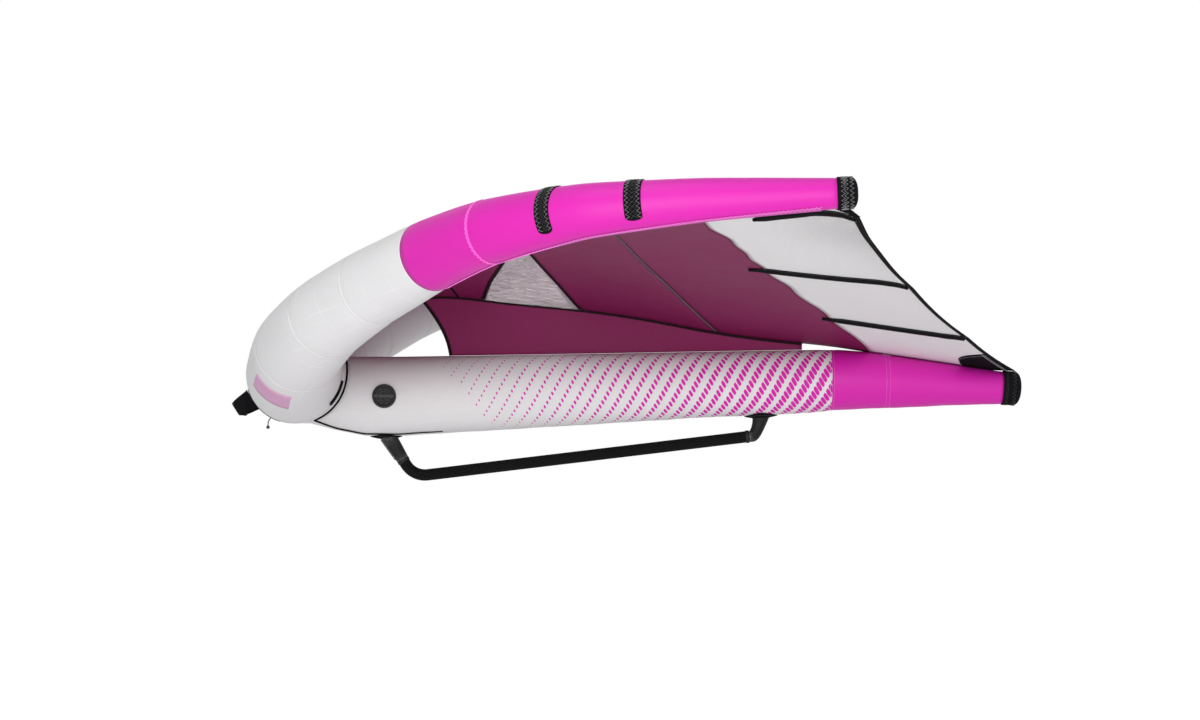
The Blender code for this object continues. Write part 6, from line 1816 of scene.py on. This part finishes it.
def build_floor(settings):
    mesh = bpy.data.meshes.new("floor")
    corners = [(x * FLOOR_REACH, y * FLOOR_REACH, -settings.floor) for x, y in ((-1, -1), (1, -1), (1, 1), (-1, 1))]
    mesh.from_pydata(corners, [], [(0, 1, 2, 3)])
    floor = bpy.data.objects.new("floor", mesh)
    bpy.context.scene.collection.objects.link(floor)
    made = Finish("Pale Floor", 0.9, space="Object")
    made.color(made.group(handled, Color=(0.90, 0.90, 0.90), Amount=0.01, Broad_Scale=0.5)["Color"])
    g, tree = made.graph, made.material.node_tree
    rays = g.node("ShaderNodeLightPath").outputs
    indirect = g.math("MAXIMUM", rays["Is Glossy Ray"], rays["Is Transmission Ray"])
    seen = g.math("MAXIMUM", indirect, g.mul(rays["Is Camera Ray"], 0.72))
    bright = g.math("MULTIPLY_ADD", rays["Is Camera Ray"], 0.22, 1.0)
    glow = g.node("ShaderNodeEmission", {"Color": (1, 1, 1, 1), "Strength": bright}).outputs[0]
    clear = g.node("ShaderNodeBsdfTransparent").outputs[0]
    under = g.node("ShaderNodeNewGeometry").outputs["Backfacing"]
    lit = g.node("ShaderNodeMixShader", {0: seen, 1: tree.nodes["Principled BSDF"].outputs[0], 2: glow}).outputs[0]
    both = g.node("ShaderNodeMixShader", {0: under, 1: lit, 2: clear}).outputs[0]
    g.put(tree.nodes["Material Output"].inputs["Surface"], both)
    mesh.materials.append(made.material)


# Operators

def step(idname, label, doc, work):
    """An operator class that runs one making step of the wing."""
    def execute(self, context):
        work(SHOP["current"])
        return {"FINISHED"}
    return type("WING_OT_" + idname.split(".")[1], (bpy.types.Operator,),
                {"bl_idname": idname, "bl_label": label, "__doc__": doc, "execute": execute})


class WING_OT_prepare(bpy.types.Operator):
    """Work out the shapes of the tubes and the canopy from the settings"""
    bl_idname = "wing.prepare"
    bl_label = "Prepare Shapes"

    def execute(self, context):
        SHOP["current"] = Shop(context.scene)
        return {"FINISHED"}


class WING_OT_stage(bpy.types.Operator):
    """Set up the camera, the pale floor and the soft lamps"""
    bl_idname = "wing.stage"
    bl_label = "Stage"

    def execute(self, context):
        build_stage(context.scene.wing_stage)
        return {"FINISHED"}


STEPS = (
    step("wing.leading_edge", "Leading Edge", "Make the sleeves of the leading edge", build_leading_edge),
    step("wing.scuff_bands", "Scuff Bands", "Make the webbing bands round the arms", build_bands),
    step("wing.caps", "Caps", "Make the webbing caps of the tips and the strut", build_caps),
    step("wing.strut", "Strut", "Make the strut's printed and plain sleeves", build_strut),
    step("wing.bladders", "Bladders", "Make the bladders inside the tubes", build_bladders),
    step("wing.canopy", "Canopy", "Make the canopy's panels and edge tapes", build_canopy),
    step("wing.edge_seam", "Edge Seam", "Lay out the seam between canopy and leading edge", build_edge_seam),
    step("wing.battens", "Battens", "Make the batten pockets", build_battens),
    step("wing.corner_patches", "Corner Patches", "Make the patches where the canopy meets the strut",
         build_corner_patches),
    step("wing.tip_tabs", "Tip Tabs", "Make the tabs between the canopy and the tip caps", build_tip_webbing),
    step("wing.upright_panel", "Upright Panel", "Make the taped panel over the strut", build_profile_panel),
    step("wing.piping", "Piping", "Make the piping at the strut's seam", build_piping),
    step("wing.zip", "Zip", "Make the zip by the strut", build_zip),
    step("wing.handle", "Nose Handle", "Make the patch, strap and pad of the nose handle", build_handle),
    step("wing.tag", "Tag Line", "Make the tag line and its knot", build_tag),
    step("wing.boom", "Boom", "Make the boom's grip, brackets and saddles, and finish its metal", build_boom),
    step("wing.valve", "Valve", "Make the inflation valve's body and cap", build_valve),
    step("wing.stitching", "Stitching", "Sew all the seams that the other steps laid out", build_stitching),
)


class WING_PT_maker(bpy.types.Panel):
    """Lists the wing's settings and its making steps"""
    bl_label = "Wingfoil Wing"
    bl_idname = "WING_PT_maker"
    bl_space_type = "VIEW_3D"
    bl_region_type = "UI"
    bl_category = "Wing"

    def draw(self, context):
        layout = self.layout
        for group, label in (("wing_colors", "Colours"), ("wing_cloth", "Cloth"), ("wing_stitching", "Stitching"),
                             ("wing_stage", "Stage")):
            box = layout.box()
            box.label(text=label)
            settings = getattr(context.scene, group)
            for name in settings.bl_rna.properties.keys():
                if name not in ("rna_type", "name"):
                    box.prop(settings, name)
        for operator in (WING_OT_prepare, *STEPS, WING_OT_stage):
            layout.operator(operator.bl_idname)


GROUPS = (("wing_colors", WingColors), ("wing_cloth", WingCloth), ("wing_stitching", WingStitching),
          ("wing_stage", WingStage))
CLASSES = (*[group for _, group in GROUPS], WING_OT_prepare, *STEPS, WING_OT_stage, WING_PT_maker)


def register():
    for item in CLASSES:
        bpy.utils.register_class(item)
    for name, group in GROUPS:
        setattr(bpy.types.Scene, name, PointerProperty(type=group))


def unregister():
    for name, _ in GROUPS:
        delattr(bpy.types.Scene, name)
    for item in reversed(CLASSES):
        bpy.utils.unregister_class(item)


def main():
    register()
    for operator in (WING_OT_prepare, WING_OT_stage, *STEPS):
        group, name = operator.bl_idname.split(".")
        getattr(getattr(bpy.ops, group), name)()


if __name__ == "__main__":
    main()
